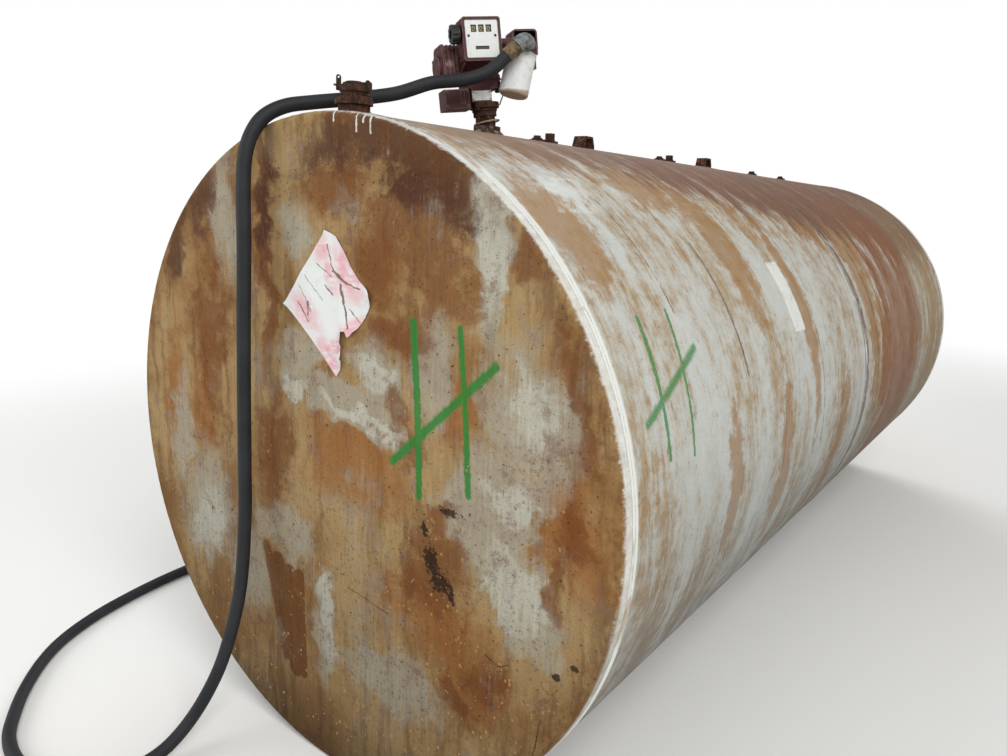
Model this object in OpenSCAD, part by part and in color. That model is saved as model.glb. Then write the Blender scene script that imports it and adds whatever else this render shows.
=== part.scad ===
// Above-ground horizontal fuel storage tank with flat heads, and a transfer pump on its crown.
// Millimetres, +Z up, the tank's length along Y, the fitted head towards -Y.
// The origin is on the ground under the middle of the tank.

/* [Tank] */
// Outside diameter of the shell
tank_d = 1828.8; // [1600:1:2200]
// Length over both heads
tank_len = 4166; // [3900:1:5200]
// Plate thickness of the rolled shell
shell_wall = 4.8; // [3:0.1:8]
// Plate thickness of the heads
head_wall = 6.4; // [4:0.1:10]
// Length of the straight flange turned back on each head
head_flange = 40; // [30:1:70]
// Outside radius of the knuckle between a head's face and its flange
knuckle_r = 14; // [12:1:24]
// Width of the strip along the bottom that has settled flat on the ground
rest_w = 94; // [60:1:140]
// Width of a weld bead
bead_w = 9; // [5:0.5:14]
// Height of a weld bead over the plate
bead_h = 2.2; // [1:0.1:4]
// Distance from a head's seam to the second line of weld
bead_step = 12; // [10:1:20]

/* [Fill fitting] */
// Distance of the fill fitting from the front head's face
fill_from_head = 120; // [110:1:160]
// Turn of the fill fitting about its own axis
fill_turn = 36; // [0:1:60]
// Bore of the fill fitting
fill_bore = 48; // [38:0.5:52]
// Thickness of the saddle plate on the crown
saddle_t = 5; // [3:0.5:8]
// Diameter of the saddle plate
saddle_d = 126; // [118:1:150]
// Outside diameter of the welded collar
collar_d = 82; // [74:1:90]
// Height of the collar's top over the crown
collar_top = 25; // [22:1:32]
// Width over the corners of the eight-sided wrench flange
fill_flange_d = 99; // [92:1:112]
// Thickness of the wrench flange
fill_flange_t = 18; // [12:1:24]
// Diameter of the neck above the flange
fill_neck_d = 66; // [60:1:72]
// Length of the neck above the flange
fill_neck_h = 14; // [8:1:20]
// Diameter of the cap's seat
cap_base_d = 74; // [70:1:80]
// Height of the cap's seat
cap_base_h = 16; // [12:1:22]
// Thickness of the hinged lid
lid_t = 9; // [6:0.5:12]
// Clearance between the lid and what it closes on
lid_gap = 0.3; // [0.2:0.1:0.5]
// Diameter of the lid's hinge pin
hinge_pin_d = 6; // [5:0.5:7]
// Height of the padlock staple over its seat
staple_h = 26; // [20:1:32]

/* [Pump] */
// Distance of the pump's riser from the front head's face
pump_from_head = 670; // [620:1:720]
// Turn of the pump about the riser
pump_turn = 56; // [40:1:70]
// Lean of the pump and riser to the left as seen from the front
pump_lean = 7; // [0:0.5:8]
// Diameter of the coupling welded to the crown
boss_d = 84; // [78:1:96]
// Height of the coupling over the crown
boss_h = 27; // [24:1:36]
// Outside diameter of the riser pipe
riser_d = 60.3; // [56:0.1:62]
// Wall of the riser pipe
riser_wall = 3.9; // [3:0.1:5.5]
// Height of the pump flange's underside above the crown
flange_z = 57; // [52:1:70]
// Diameter of the pump flange
pump_flange_d = 92; // [86:1:100]
// Height of the pump flange with its collar
pump_flange_h = 40; // [36:1:48]
// Width of the pump casing
casing_w = 108; // [100:1:120]
// Depth of the pump casing
casing_d = 100; // [90:1:120]
// Height of the pump casing above its inlet neck
casing_h = 98; // [90:1:110]
// Height of the inlet neck under the casing
neck_h = 40; // [34:1:46]
// Width and depth of the motor housing
motor_w = 106; // [96:1:116]
// Length of the motor housing
motor_len = 66; // [56:1:80]
// Width of the switch box
box_w = 84; // [76:1:92]
// Height of the switch box
box_h = 58; // [50:1:64]

/* [Meter] */
// Width of the meter housing
meter_w = 118; // [108:1:130]
// Height of the meter housing
meter_h = 121; // [112:1:132]
// Depth of the meter housing
meter_d = 64; // [58:1:76]
// Thickness of the meter's face plate
face_t = 1.5; // [1:0.1:2.5]
// Width of the rim round the face plate
face_rim = 9; // [6:0.5:12]
// Diameter of the reset knob
knob_d = 54; // [44:1:60]
// Thickness of the reset knob
knob_t = 22; // [16:1:26]

/* [Outlet and filter] */
// Diameter of the spin-on filter can
can_d = 93; // [84:1:98]
// Length of the spin-on filter can
can_len = 130; // [110:1:136]
// Lean of the filter to the right as seen from the front of the pump
filter_lean = 18; // [8:1:22]
// Diameter of the elbow's body
elbow_d = 43; // [38:1:46]
// Bend radius of the elbow's axis
elbow_r = 26; // [24:1:30]
// Width over the corners of the brass coupling
coupling_d = 48; // [44:1:54]
// Length of the brass coupling
coupling_len = 42; // [36:1:48]

/* [Nozzle boot] */
// Width of the open boot that holds the nozzle
boot_w = 82; // [74:1:92]
// Height of the boot
boot_h = 70; // [62:1:80]
// Depth of the boot
boot_d = 64; // [54:1:76]
// Wall of the boot
boot_wall = 5; // [4:0.5:8]

/* [Crown fittings] */
// Distance of the front low bung from the front head's face
front_bung_from_head = 946; // [920:1:980]
// Distance of the front square plug from the front head's face
front_plug_from_head = 1024; // [1000:1:1060]
// Distance of the middle low bung from the front head's face
middle_bung_from_head = 1885; // [1850:1:1920]
// Distance of the middle square plug from the front head's face
middle_plug_from_head = 1985; // [1950:1:2040]
// Distance of the rear square plug from the front head's face
rear_plug_from_head = 3040; // [3000:1:3080]
// Distance of the rear low bung from the front head's face
rear_bung_from_head = 3534; // [3490:1:3580]
// Distance of the front lifting lug from the front head's face
front_lug_from_head = 1248; // [1210:1:1290]
// Distance of the rear lifting lug from the front head's face
rear_lug_from_head = 2369; // [2330:1:2410]
// Length of a lifting lug along the tank
lug_len = 76; // [66:1:90]
// Width of a lifting lug across the tank
lug_w = 50; // [40:1:64]
// Height of a lifting lug over the crown
lug_h = 50; // [44:1:64]
// Plate thickness of a lifting lug
lug_t = 9; // [7:0.5:12]
// Outside diameter of a bung welded to the crown
bung_d = 58; // [50:1:66]
// Height of a bung over the crown
bung_h = 13; // [11:1:18]

/* [Hose] */
// Outside diameter of the delivery hose
hose_d = 38; // [34:0.5:42]

/* [Hidden] */
$fn = 64;

tank_r = tank_d / 2;
shell_fn = 180;
rest_sag = tank_r - sqrt(tank_r * tank_r - rest_w * rest_w / 4);
axis_z = tank_r - rest_sag;
crown_z = axis_z + tank_r;
front_y = -tank_len / 2;
rear_y = tank_len / 2;
seam_y = tank_len / 2 - head_flange;
fill_y = front_y + fill_from_head;
pump_y = front_y + pump_from_head;
far = 3 * tank_d;

// Heights of the fill fitting above the crown
fill_flange_top = collar_top + fill_flange_t;
fill_neck_top = fill_flange_top + fill_neck_h;
cap_seat = fill_neck_top + cap_base_h;
lid_bottom = cap_seat + lid_gap;
lid_d = fill_bore + 8;
ear_r = 6;
ear_t = 6;
hinge_x = lid_d / 2 + 10;
hinge_z = cap_seat + ear_r;
knuckle_w = 15;
staple_w = 12;
staple_t = 6;
staple_x = -cap_base_d / 2 - 2;
tongue_y = staple_t / 2 + 5;
tongue_w = 8;

// Heights and places in the pump's own frame: X to its right, -Y to its front, Z up the riser
lean_axis = [0.6, -0.8, 0];
boss_bore_depth = 12;
riser_tip = riser_d / 2 * sin(pump_lean) + 0.3;
riser_foot = boss_h - boss_bore_depth + riser_tip;
flange_top = flange_z + pump_flange_h;
casing_z = flange_top + neck_h;
casing_top = casing_z + casing_h;
casing_x = -62;
casing_front = -casing_d / 2 + 10;
meter_x = -80;
meter_z = 203;
meter_back = casing_front;
meter_front = meter_back - meter_d;
meter_top = meter_z + meter_h;
motor_z = casing_top - motor_w / 2 + 32;
motor_x = casing_x - motor_len;
box_x = casing_x + 12 - box_w;
box_z = casing_z - box_h;
face_z = meter_z + face_rim;
face_w = meter_w - 2 * face_rim;
face_h = meter_h - 2 * face_rim;
window_w = 17;
window_h = 20;
window_pitch = 23;
window_z = 80;
slot_w = 42;
slot_h = 9;
slot_z = 27;
pocket_d = 34;
wheel_r = 15;
knob_gap = 5.5;
knob_shaft_d = 10;
shaft_fit = 0.3;
knob_y = meter_front + 30;
knob_z = meter_top - 42;

// The filter's own frame hangs from its head
filter_at = [117, -56, 230];
head_plate_h = 12;
head_boss_d = 46;
head_boss_h = 36;
pipe_d = 26;
pipe_z = filter_at[2] + 30;
can_gap = 0.3;

// The elbow's legs: the inlet runs down into the filter head and the outlet runs to the hose
elbow_in = [0.45, 0.80, -0.40];
elbow_out = [-0.85, -0.05, -0.52];
elbow_corner = [102, -135, 258];
elbow_collar = 10;
collar_lip = 2.5;

boot_at = [149, 21, 274];
rest_gap = 5;

plug_af = 24;

hose_r = hose_d / 2;
// The hose leaves the coupling along the coupling's own axis
elbow_up = -unit(elbow_in);
elbow_side = unit(elbow_out - (elbow_out * elbow_up) * elbow_up);
coupling_end = elbow_corner + (elbow_r + elbow_collar + coupling_len) * elbow_side;
hose_lead = 44;
// Places along the hose in the tank's frame, from the brass coupling to the coil
hose_route = [
    pump_place(coupling_end), pump_place(coupling_end + hose_lead * elbow_side),
    [62, -1517, 1990], [27, -1573, 1968], [-9, -1661, 1950], [-67, -1748, 1913], [-116, -1876, 1885],
    [-157, -1970, 1867], [-186, -2033, 1852], [-206, -2082, 1824], [-213, -2117, 1783],
    [-217, -2140, 1725], [-219, -2149, 1640], [-221, -2153, 1477], [-236, -2153, 1270],
    [-248, -2153, 1063], [-258, -2153, 870], [-267, -2154, 700], [-279, -2172, 483],
    [-313, -2207, 288], [-340, -2253, 165], [-357, -2320, 76], [-360, -2402, 32], [-376, -2485, 19],
    [-425, -2575, 19], [-520, -2640, 19], [-640, -2668, 19], [-770, -2645, 19], [-885, -2586, 19],
    [-1000, -2508, 19], [-1115, -2408, 19], [-1203, -2300, 19], [-1275, -2155, 19],
    [-1325, -1990, 19], [-1358, -1820, 19], [-1374, -1650, 19], [-1380, -1480, 19],
    [-1380, -1310, 19], [-1377, -1150, 19], [-1376, -1000, 19]
];
// Middle of the coil on the ground and the radius at the middle of its turns
coil_mid = [-1148, -1000];
coil_r = 228;
coil_turns_high = 2;
// Places along the hose from the coil to the nozzle
tail_route = [
    [-920, -1000, 57], [-920, -1075, 54], [-921, -1150, 42], [-923, -1225, 29], [-926, -1300, 23],
    [-930, -1370, 22], [-934, -1430, 22]
];
nozzle_at = [-934, -1430, 22];
nozzle_turn = -94;
swivel_d = 44;
swivel_len = 42;
grip_d = 32;
grip_len = 108;
valve_len = 56;
spout_d = 25;
spout_wall = 1.6;
spout_bend = 60;
spout_angle = 35;
spout_lead = 24;
spout_len = 72;
spout_bore_len = 60;
spout_step = 0.2;

// Geometry of vectors
function unit(v) = v / norm(v);
function axis_turn(v, k, a) =
    v * cos(a) + cross(k, v) * sin(a) + k * (k * v) * (1 - cos(a));
function turned(v, a) = [v[0] * cos(a) - v[1] * sin(a), v[0] * sin(a) + v[1] * cos(a), v[2]];
function pump_place(p) =
    [0, pump_y, crown_z] + axis_turn(turned(p, pump_turn), unit(lean_axis), pump_lean);

// A smooth curve through the route's points, with the ground as its lowest place
function spline_at(a, b, c, d, t) =
    0.5 * (2 * b + (c - a) * t + (2 * a - 5 * b + 4 * c - d) * t * t
    + (3 * b - a - 3 * c + d) * t * t * t);
function above_ground(p, r) = [p[0], p[1], max(p[2], r)];
function smooth_path(pts, steps, r) = [
    for (i = [0:len(pts) - 2])
        let (
            a = i == 0 ? 2 * pts[0] - pts[1] : pts[i - 1],
            d = i == len(pts) - 2 ? 2 * pts[i + 1] - pts[i] : pts[i + 2]
        )
        for (k = [0:steps - 1])
            above_ground(spline_at(a, pts[i], pts[i + 1], d, k / steps), r),
    above_ground(pts[len(pts) - 1], r)
];
function tangents(path) = [
    for (i = [0:len(path) - 1])
        unit(path[min(i + 1, len(path) - 1)] - path[max(i - 1, 0)])
];
function carried(ts, n, i = 0) =
    i == len(ts) ? [] : let (m = unit(n - (n * ts[i]) * ts[i])) concat([m], carried(ts, m, i + 1));

// A round tube swept along a path, as one closed surface
module sweep(path, r, sides) {
    ts = tangents(path);
    ns = carried(ts, [0.3, 0.2, 0.93]);
    rings = len(path);
    points = [
        for (i = [0:rings - 1], k = [0:sides - 1])
            let (a = 360 * k / sides, s = cross(ts[i], ns[i]))
            path[i] + r * (cos(a) * ns[i] + sin(a) * s)
    ];
    walls = [
        for (i = [0:rings - 2], k = [0:sides - 1])
            let (a = i * sides + k, b = i * sides + (k + 1) % sides)
            each [[a, a + sides, b], [b, a + sides, b + sides]]
    ];
    first = [for (k = [0:sides - 1]) k];
    last = [for (k = [0:sides - 1]) (rings - 1) * sides + sides - 1 - k];
    polyhedron(points = points, faces = concat(walls, [first, last]), convexity = 8);
}

// Flat shapes that several pieces share
module rounded(w, h, r) {
    translate([-w / 2 + r, -h / 2]) square([w - 2 * r, h]);
    translate([-w / 2, -h / 2 + r]) square([w, h - 2 * r]);
    for (x = [-1, 1], y = [-1, 1]) translate([x * (w / 2 - r), y * (h / 2 - r)]) circle(r, $fn = 32);
}
module facing_front(y, t) {
    translate([0, y + t, 0]) rotate([90, 0, 0]) linear_extrude(t) children();
}
module along_y(y) {
    translate([0, y, axis_z]) rotate([-90, 0, 0]) children();
}
module along_x(x, l, r) {
    translate([x, 0, 0]) rotate([0, 90, 0]) cylinder(h = l, r = r);
}
module below_ground() {
    translate([-far / 2, -far / 2, -far]) cube([far, far, far]);
}
module on_crown(y) {
    translate([0, y, crown_z]) children();
}
module tank_body(extra = 0) {
    along_y(front_y - 200) cylinder(h = tank_len + 400, r = tank_r + extra, $fn = shell_fn);
}
module fill_at() {
    on_crown(fill_y) rotate([0, 0, fill_turn]) children();
}
module pump_at() {
    on_crown(pump_y) rotate(a = pump_lean, v = lean_axis) rotate([0, 0, pump_turn]) children();
}

// Tank
module head_shape() {
    in_r = knuckle_r - head_wall;
    flat_r = tank_r - knuckle_r;
    rotate_extrude($fn = shell_fn) difference() {
        union() {
            square([flat_r, head_flange]);
            translate([0, knuckle_r]) square([tank_r, head_flange - knuckle_r]);
            intersection() {
                translate([flat_r, knuckle_r]) circle(knuckle_r, $fn = 48);
                square([tank_r + 1, head_flange]);
            }
        }
        translate([0, head_wall]) square([flat_r, head_flange]);
        translate([0, knuckle_r]) square([tank_r - head_wall, head_flange]);
        intersection() {
            translate([flat_r, knuckle_r]) circle(in_r, $fn = 48);
            square([tank_r + 1, head_flange]);
        }
    }
}
module front_head() {
    color("peru") difference() {
        along_y(front_y) head_shape();
        below_ground();
    }
}
module rear_head() {
    color("peru") difference() {
        along_y(rear_y) mirror([0, 0, 1]) head_shape();
        below_ground();
    }
}
module course(y0, y1) {
    difference() {
        along_y(y0) cylinder(h = y1 - y0, r = tank_r, $fn = shell_fn);
        along_y(y0 - 1) cylinder(h = y1 - y0 + 2, r = tank_r - shell_wall, $fn = shell_fn);
        below_ground();
        on_crown(fill_y) translate([0, 0, -60]) cylinder(h = 120, d = fill_bore);
        on_crown(pump_y) translate([0, 0, -60]) cylinder(h = 120, d = riser_d - 2 * riser_wall);
    }
}
module front_course() {
    color("gainsboro") course(-seam_y, 0);
}
module rear_course() {
    color("silver") course(0, seam_y);
}
module bead(y) {
    difference() {
        along_y(y) rotate_extrude($fn = shell_fn) polygon([
            [tank_r, -bead_w / 2], [tank_r + bead_h * 0.75, -bead_w / 4], [tank_r + bead_h, 0],
            [tank_r + bead_h * 0.75, bead_w / 4], [tank_r, bead_w / 2]
        ]);
        below_ground();
    }
}
module front_head_weld() {
    color("tan") {
        bead(-seam_y);
        bead(-seam_y + bead_step);
    }
}
module rear_head_weld() {
    color("tan") {
        bead(seam_y);
        bead(seam_y - bead_step);
    }
}
module girth_seam() {
    color("saddlebrown") bead(0);
}

// Fill fitting
module fill_saddle() {
    color("saddlebrown") difference() {
        intersection() {
            fill_at() translate([0, 0, -40]) cylinder(h = 80, d = saddle_d);
            tank_body(saddle_t);
        }
        tank_body();
        fill_at() translate([0, 0, -60]) cylinder(h = 120, d = fill_bore);
    }
}
module fill_neck() {
    color("sienna") difference() {
        fill_at() {
            translate([0, 0, -10]) cylinder(h = 10 + collar_top, d = collar_d);
            translate([0, 0, collar_top]) rotate([0, 0, 22.5])
                cylinder(h = fill_flange_t, d = fill_flange_d, $fn = 8);
            translate([0, 0, fill_flange_top]) cylinder(h = fill_neck_h, d = fill_neck_d);
        }
        tank_body(saddle_t);
        fill_at() translate([0, 0, -20]) cylinder(h = 120, d = fill_bore);
    }
}
module fill_cap_base() {
    color("sienna") fill_at() {
        difference() {
            union() {
                translate([0, 0, fill_neck_top]) cylinder(h = cap_base_h, d = cap_base_d);
                translate([staple_x - staple_w / 2, -staple_w / 2, fill_neck_top + 4])
                    cube([staple_w, staple_w, cap_base_h - 4]);
                for (s = [-1, 1]) translate([0, s * (knuckle_w / 2 + 0.5 + ear_t / 2), 0]) {
                    translate([hinge_x, ear_t / 2, hinge_z]) rotate([90, 0, 0])
                        cylinder(h = ear_t, r = ear_r, $fn = 32);
                    translate([hinge_x - ear_r, -ear_t / 2, fill_neck_top])
                        cube([2 * ear_r, ear_t, hinge_z - fill_neck_top]);
                }
            }
            translate([0, 0, fill_neck_top - 1]) cylinder(h = cap_base_h + 2, d = fill_bore);
        }
        difference() {
            translate([staple_x, 0, 0]) {
                translate([-staple_w / 2, -staple_t / 2, cap_seat])
                    cube([staple_w, staple_t, staple_h - staple_w / 2]);
                translate([0, staple_t / 2, cap_seat + staple_h - staple_w / 2]) rotate([90, 0, 0])
                    cylinder(h = staple_t, d = staple_w, $fn = 32);
            }
            translate([staple_x, staple_t, cap_seat + staple_h - staple_w / 2]) rotate([90, 0, 0])
                cylinder(h = 2 * staple_t, d = 6, $fn = 24);
        }
        translate([hinge_x, knuckle_w / 2 + ear_t, hinge_z]) rotate([90, 0, 0])
            cylinder(h = knuckle_w + 2 * ear_t, d = hinge_pin_d, $fn = 32);
    }
}
module fill_cap() {
    rim_t = lid_t * 0.62;
    color("saddlebrown") fill_at() difference() {
        union() {
            translate([0, 0, lid_bottom]) cylinder(h = rim_t, d = lid_d);
            translate([0, 0, lid_bottom + rim_t]) cylinder(h = lid_t - rim_t, d1 = lid_d - 6, d2 = lid_d - 16);
            translate([lid_d / 2 - 8, -knuckle_w / 2, lid_bottom])
                cube([hinge_x - lid_d / 2 + 8, knuckle_w, rim_t + 2]);
            translate([hinge_x, knuckle_w / 2, hinge_z]) rotate([90, 0, 0])
                cylinder(h = knuckle_w, r = ear_r - 0.7, $fn = 32);
            translate([0, 0, lid_bottom]) linear_extrude(rim_t - 1) polygon([
                [-lid_d / 2 + 9, tongue_y], [staple_x - staple_w, tongue_y + 1],
                [staple_x - staple_w - 4, tongue_y + 3], [staple_x - staple_w, tongue_y + tongue_w],
                [-lid_d / 2 + 14, tongue_y + tongue_w]
            ]);
        }
        translate([hinge_x, knuckle_w, hinge_z]) rotate([90, 0, 0])
            cylinder(h = 2 * knuckle_w, d = hinge_pin_d + 0.6, $fn = 32);
    }
}

// Pump stand
module pump_boss() {
    foot_d = boss_d + 18;
    color("dimgray") difference() {
        on_crown(pump_y) {
            translate([0, 0, -8]) cylinder(h = 8 + boss_h, d = boss_d);
            translate([0, 0, -8]) cylinder(h = 14, d = foot_d);
            translate([0, 0, 6]) cylinder(h = 9, d1 = foot_d, d2 = boss_d);
        }
        tank_body();
        on_crown(pump_y) translate([0, 0, boss_h - boss_bore_depth])
            cylinder(h = boss_bore_depth + 1, d = riser_d + 9);
        on_crown(pump_y) translate([0, 0, -20]) cylinder(h = 80, d = riser_d - 2 * riser_wall);
    }
}
module riser_pipe() {
    color("dimgray") pump_at() difference() {
        translate([0, 0, riser_foot]) cylinder(h = flange_z - riser_foot, d = riser_d);
        translate([0, 0, riser_foot - 1]) cylinder(h = flange_z, d = riser_d - 2 * riser_wall);
    }
}
module pump_flange() {
    collar_h = pump_flange_h * 0.38;
    color("saddlebrown") pump_at() difference() {
        union() {
            translate([0, 0, flange_z]) cylinder(h = collar_h, d = riser_d + 12);
            translate([0, 0, flange_z + collar_h])
                cylinder(h = pump_flange_h - collar_h - 14, d = pump_flange_d - 14);
            translate([0, 0, flange_top - 16]) cylinder(h = 16, d = pump_flange_d);
            for (a = [45, 225]) rotate([0, 0, a]) translate([pump_flange_d / 2 - 6, 0, flange_top - 16])
                cylinder(h = 16, r = 13, $fn = 32);
        }
        translate([0, 0, flange_z - 1]) cylinder(h = pump_flange_h + 2, d = riser_d - 2 * riser_wall);
    }
}
module wire_loop() {
    wire_r = 2.5;
    loop_r = riser_d / 2 + 9;
    tilt = 14;
    color("tan") on_crown(pump_y)
        translate([-1, -1, boss_h + wire_r + loop_r * sin(tilt) + 0.2])
        rotate([0, 0, fill_turn]) rotate([0, -tilt, 0])
        rotate_extrude($fn = 48) translate([loop_r, 0]) circle(wire_r, $fn = 16);
}

// Pump
module pump_casing() {
    casing_y = casing_front + casing_d / 2;
    mid_x = casing_x + casing_w / 2;
    seam_lip = 3;
    color("maroon") pump_at() {
        translate([mid_x, casing_y, casing_z]) linear_extrude(casing_h) rounded(casing_w, casing_d, 12);
        translate([mid_x + seam_lip / 2, casing_y, casing_z + casing_h * 0.3])
            linear_extrude(7) rounded(casing_w + seam_lip, casing_d + 2 * seam_lip, 14);
        translate([casing_x + 12, casing_front, flange_top]) cube([64, casing_d * 0.8, neck_h]);
        translate([casing_x + casing_w - 2, casing_y - 10, casing_z + 12]) rotate([0, 90, 0])
            cylinder(h = 8, d = 46, $fn = 48);
    }
}
module motor_housing() {
    mid = [0, casing_front + casing_d / 2 + 4, motor_z];
    fins = 4;
    color("firebrick") pump_at() translate(mid) {
        translate([motor_x, 0, 0]) rotate([0, 90, 0]) linear_extrude(motor_len)
            rounded(motor_w - 6, motor_w - 10, 22);
        translate([motor_x, 0, 0]) rotate([0, 90, 0]) linear_extrude(7) rounded(motor_w, motor_w, 18);
        for (i = [0:fins - 1]) translate([motor_x + 18 + i * 12, 0, 0]) rotate([0, 90, 0])
            linear_extrude(4) rounded(motor_w, motor_w - 4, 24);
    }
}
module motor_cover() {
    cover_d = 76;
    color("maroon") pump_at()
        translate([motor_x, casing_front + casing_d / 2 + 4, motor_z - 10]) {
            translate([-10, 0, 0]) rotate([0, 90, 0]) cylinder(h = 10, d = cover_d);
            translate([-15, 0, 0]) rotate([0, 90, 0]) cylinder(h = 5, d1 = cover_d - 22, d2 = cover_d - 8);
            for (a = [45:90:315]) rotate([a, 0, 0]) translate([-14, 0, cover_d / 2 - 6]) rotate([0, 90, 0])
                cylinder(h = 6, d = 10, $fn = 6);
        }
}
module switch_box() {
    depth = casing_d * 0.7;
    color("brown") pump_at() {
        translate([box_x + box_w / 2, casing_front + 6 + depth / 2, box_z])
            linear_extrude(box_h) rounded(box_w, depth, 6);
        translate([box_x + box_w / 2 - 2, 0, box_z + box_h / 2])
            facing_front(casing_front + 1, 5) rounded(box_w - 8, box_h - 4, 6);
        translate([box_x + box_w / 2 + 6, casing_front - 3, box_z + 14]) cube([14, 5, box_h - 20]);
        for (x = [8, box_w - 14], z = [8, box_h - 8])
            translate([box_x + x, casing_front + 1, box_z + z]) rotate([90, 0, 0])
                cylinder(h = 4, d = 9, $fn = 6);
    }
}
module nameplate() {
    color("lightgray") pump_at()
        translate([casing_x + 44, 0, flange_top + neck_h / 2 - 2])
        facing_front(casing_front - 1, 1) rounded(60, 28, 2);
}

// Meter
module meter_windows(depth) {
    mid_x = meter_x + meter_w / 2;
    for (i = [-1, 0, 1]) translate([mid_x - 1 + i * window_pitch, 0, face_z + window_z])
        facing_front(meter_front - 1, depth) square([window_w, window_h], center = true);
    translate([mid_x - 1, 0, face_z + slot_z])
        facing_front(meter_front - 1, depth) square([slot_w, slot_h], center = true);
}
module meter_housing() {
    mid_x = meter_x + meter_w / 2;
    mid_z = meter_z + meter_h / 2;
    pocket_w = 3 * window_pitch;
    drop = 18;
    color("brown") pump_at() difference() {
        union() {
            translate([mid_x, 0, mid_z]) facing_front(meter_front, meter_d) rounded(meter_w, meter_h, 8);
            translate([meter_x + 6, 0, 0]) rotate([90, 0, 90]) linear_extrude(meter_w - 12) polygon([
                [meter_front + 14, meter_z + 1], [meter_back, meter_z + 1], [meter_back, meter_z - drop]
            ]);
            translate([meter_x, knob_y, knob_z]) rotate([0, -90, 0])
                cylinder(h = 3, d = knob_shaft_d + 14);
        }
        translate([mid_x, 0, mid_z])
            facing_front(meter_front - 1, 1 + 3) rounded(face_w + 0.6, face_h + 0.6, 5);
        translate([mid_x - 1, 0, face_z + window_z])
            facing_front(meter_front - 1, 1 + pocket_d) square([pocket_w, 2 * wheel_r + 2], center = true);
        translate([mid_x - 1, 0, face_z + slot_z])
            facing_front(meter_front - 1, 1 + pocket_d / 2) square([slot_w + 8, slot_h + 10], center = true);
        translate([meter_x - 4, knob_y, knob_z]) rotate([0, 90, 0])
            cylinder(h = 26, d = knob_shaft_d + 2 * shaft_fit);
    }
}
module meter_face() {
    mid_x = meter_x + meter_w / 2;
    seat_y = meter_front + 3 - face_t;
    color("white") pump_at() difference() {
        translate([mid_x, 0, meter_z + meter_h / 2]) facing_front(seat_y, face_t) rounded(face_w, face_h, 4);
        meter_windows(20);
    }
}
module counter_wheels() {
    mid_x = meter_x + meter_w / 2 - 1;
    wheel_y = meter_front + 3 + wheel_r + 1;
    small_r = 6;
    small_y = meter_front + 3 + small_r + 1;
    pocket_w = 3 * window_pitch;
    color("khaki") pump_at() {
        for (i = [-1, 0, 1]) translate([mid_x + i * window_pitch - window_w / 2, wheel_y, face_z + window_z])
            along_x(-1, window_w + 2, wheel_r);
        translate([mid_x - pocket_w / 2, wheel_y, face_z + window_z]) along_x(0, pocket_w, 3);
        for (i = [-2:3]) translate([mid_x + (i - 0.5) * 7 - 3, small_y, face_z + slot_z])
            along_x(0, 6, small_r);
        translate([mid_x - slot_w / 2 - 4, small_y, face_z + slot_z]) along_x(0, slot_w + 8, 2);
    }
}
module reset_knob() {
    grips = 10;
    color("black") pump_at() translate([meter_x, knob_y, knob_z]) rotate([0, -90, 0]) {
        translate([0, 0, knob_gap]) difference() {
            cylinder(h = knob_t, d = knob_d);
            for (i = [0:grips - 1]) rotate([0, 0, 360 * i / grips]) translate([knob_d / 2 + 3, 0, 4])
                cylinder(h = knob_t, r = 6, $fn = 24);
            translate([0, 0, knob_t - 4]) cylinder(h = 5, d = knob_d * 0.45);
        }
        translate([0, 0, -18]) cylinder(h = 18 + knob_gap, d = knob_shaft_d, $fn = 48);
    }
}

// Outlet, filter and elbow
module filter_frame() {
    pump_at() translate(filter_at) rotate([0, filter_lean, 0]) children();
}
module outlet_pipe() {
    color("brown") pump_at() {
        difference() {
            translate([meter_x + meter_w, filter_at[1], pipe_z]) {
                along_x(0, filter_at[0] - meter_x - meter_w, pipe_d / 2);
                along_x(0, 6, pipe_d / 2 + 5);
            }
            translate(filter_at) rotate([0, filter_lean, 0]) {
                translate([0, 0, -1]) cylinder(h = 100, d = head_boss_d);
                translate([0, 0, -1]) cylinder(h = head_plate_h + 1.3, d = can_d);
            }
        }
    }
}
module filter_head() {
    port_d = elbow_d + 2 * collar_lip + 1;
    port_len = 46;
    color("maroon") difference() {
        union() {
            filter_frame() {
                translate([0, 0, can_gap]) cylinder(h = head_plate_h, d = can_d - 4);
                translate([0, 0, head_plate_h]) cylinder(h = head_boss_h - head_plate_h, d = head_boss_d);
                translate([0, 0, head_boss_h]) cylinder(h = 6, d1 = head_boss_d, d2 = head_boss_d - 14);
            }
            intersection() {
                elbow_frame() translate([0, 0, -elbow_r - elbow_collar - port_len])
                    cylinder(h = port_len, d = port_d);
                filter_frame() translate([-100, -100, can_gap]) cube([200, 200, 100]);
            }
        }
        elbow_frame() translate([0, 0, -elbow_r - elbow_collar]) cylinder(h = 80, d = port_d + 4);
        filter_frame() translate([0, 0, -1]) cylinder(h = 8, d = 30);
    }
}
module filter_can() {
    foot_r = 10;
    color("white") filter_frame() {
        translate([0, 0, -can_len]) rotate_extrude($fn = 96) {
            translate([0, foot_r]) square([can_d / 2 - 1, can_len - foot_r - 6]);
            square([can_d / 2 - 1 - foot_r, foot_r + 1]);
            intersection() {
                translate([can_d / 2 - 1 - foot_r, foot_r]) circle(foot_r, $fn = 32);
                square([can_d, can_len]);
            }
            translate([0, can_len - 7]) square([can_d / 2, 7]);
        }
        translate([0, 0, -0.5]) cylinder(h = 7, d = 26);
    }
}
module elbow_frame() {
    across = cross(elbow_up, elbow_side);
    m = [
        [elbow_side[0], across[0], elbow_up[0], elbow_corner[0]],
        [elbow_side[1], across[1], elbow_up[1], elbow_corner[1]],
        [elbow_side[2], across[2], elbow_up[2], elbow_corner[2]],
        [0, 0, 0, 1]
    ];
    pump_at() multmatrix(m) children();
}
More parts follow.
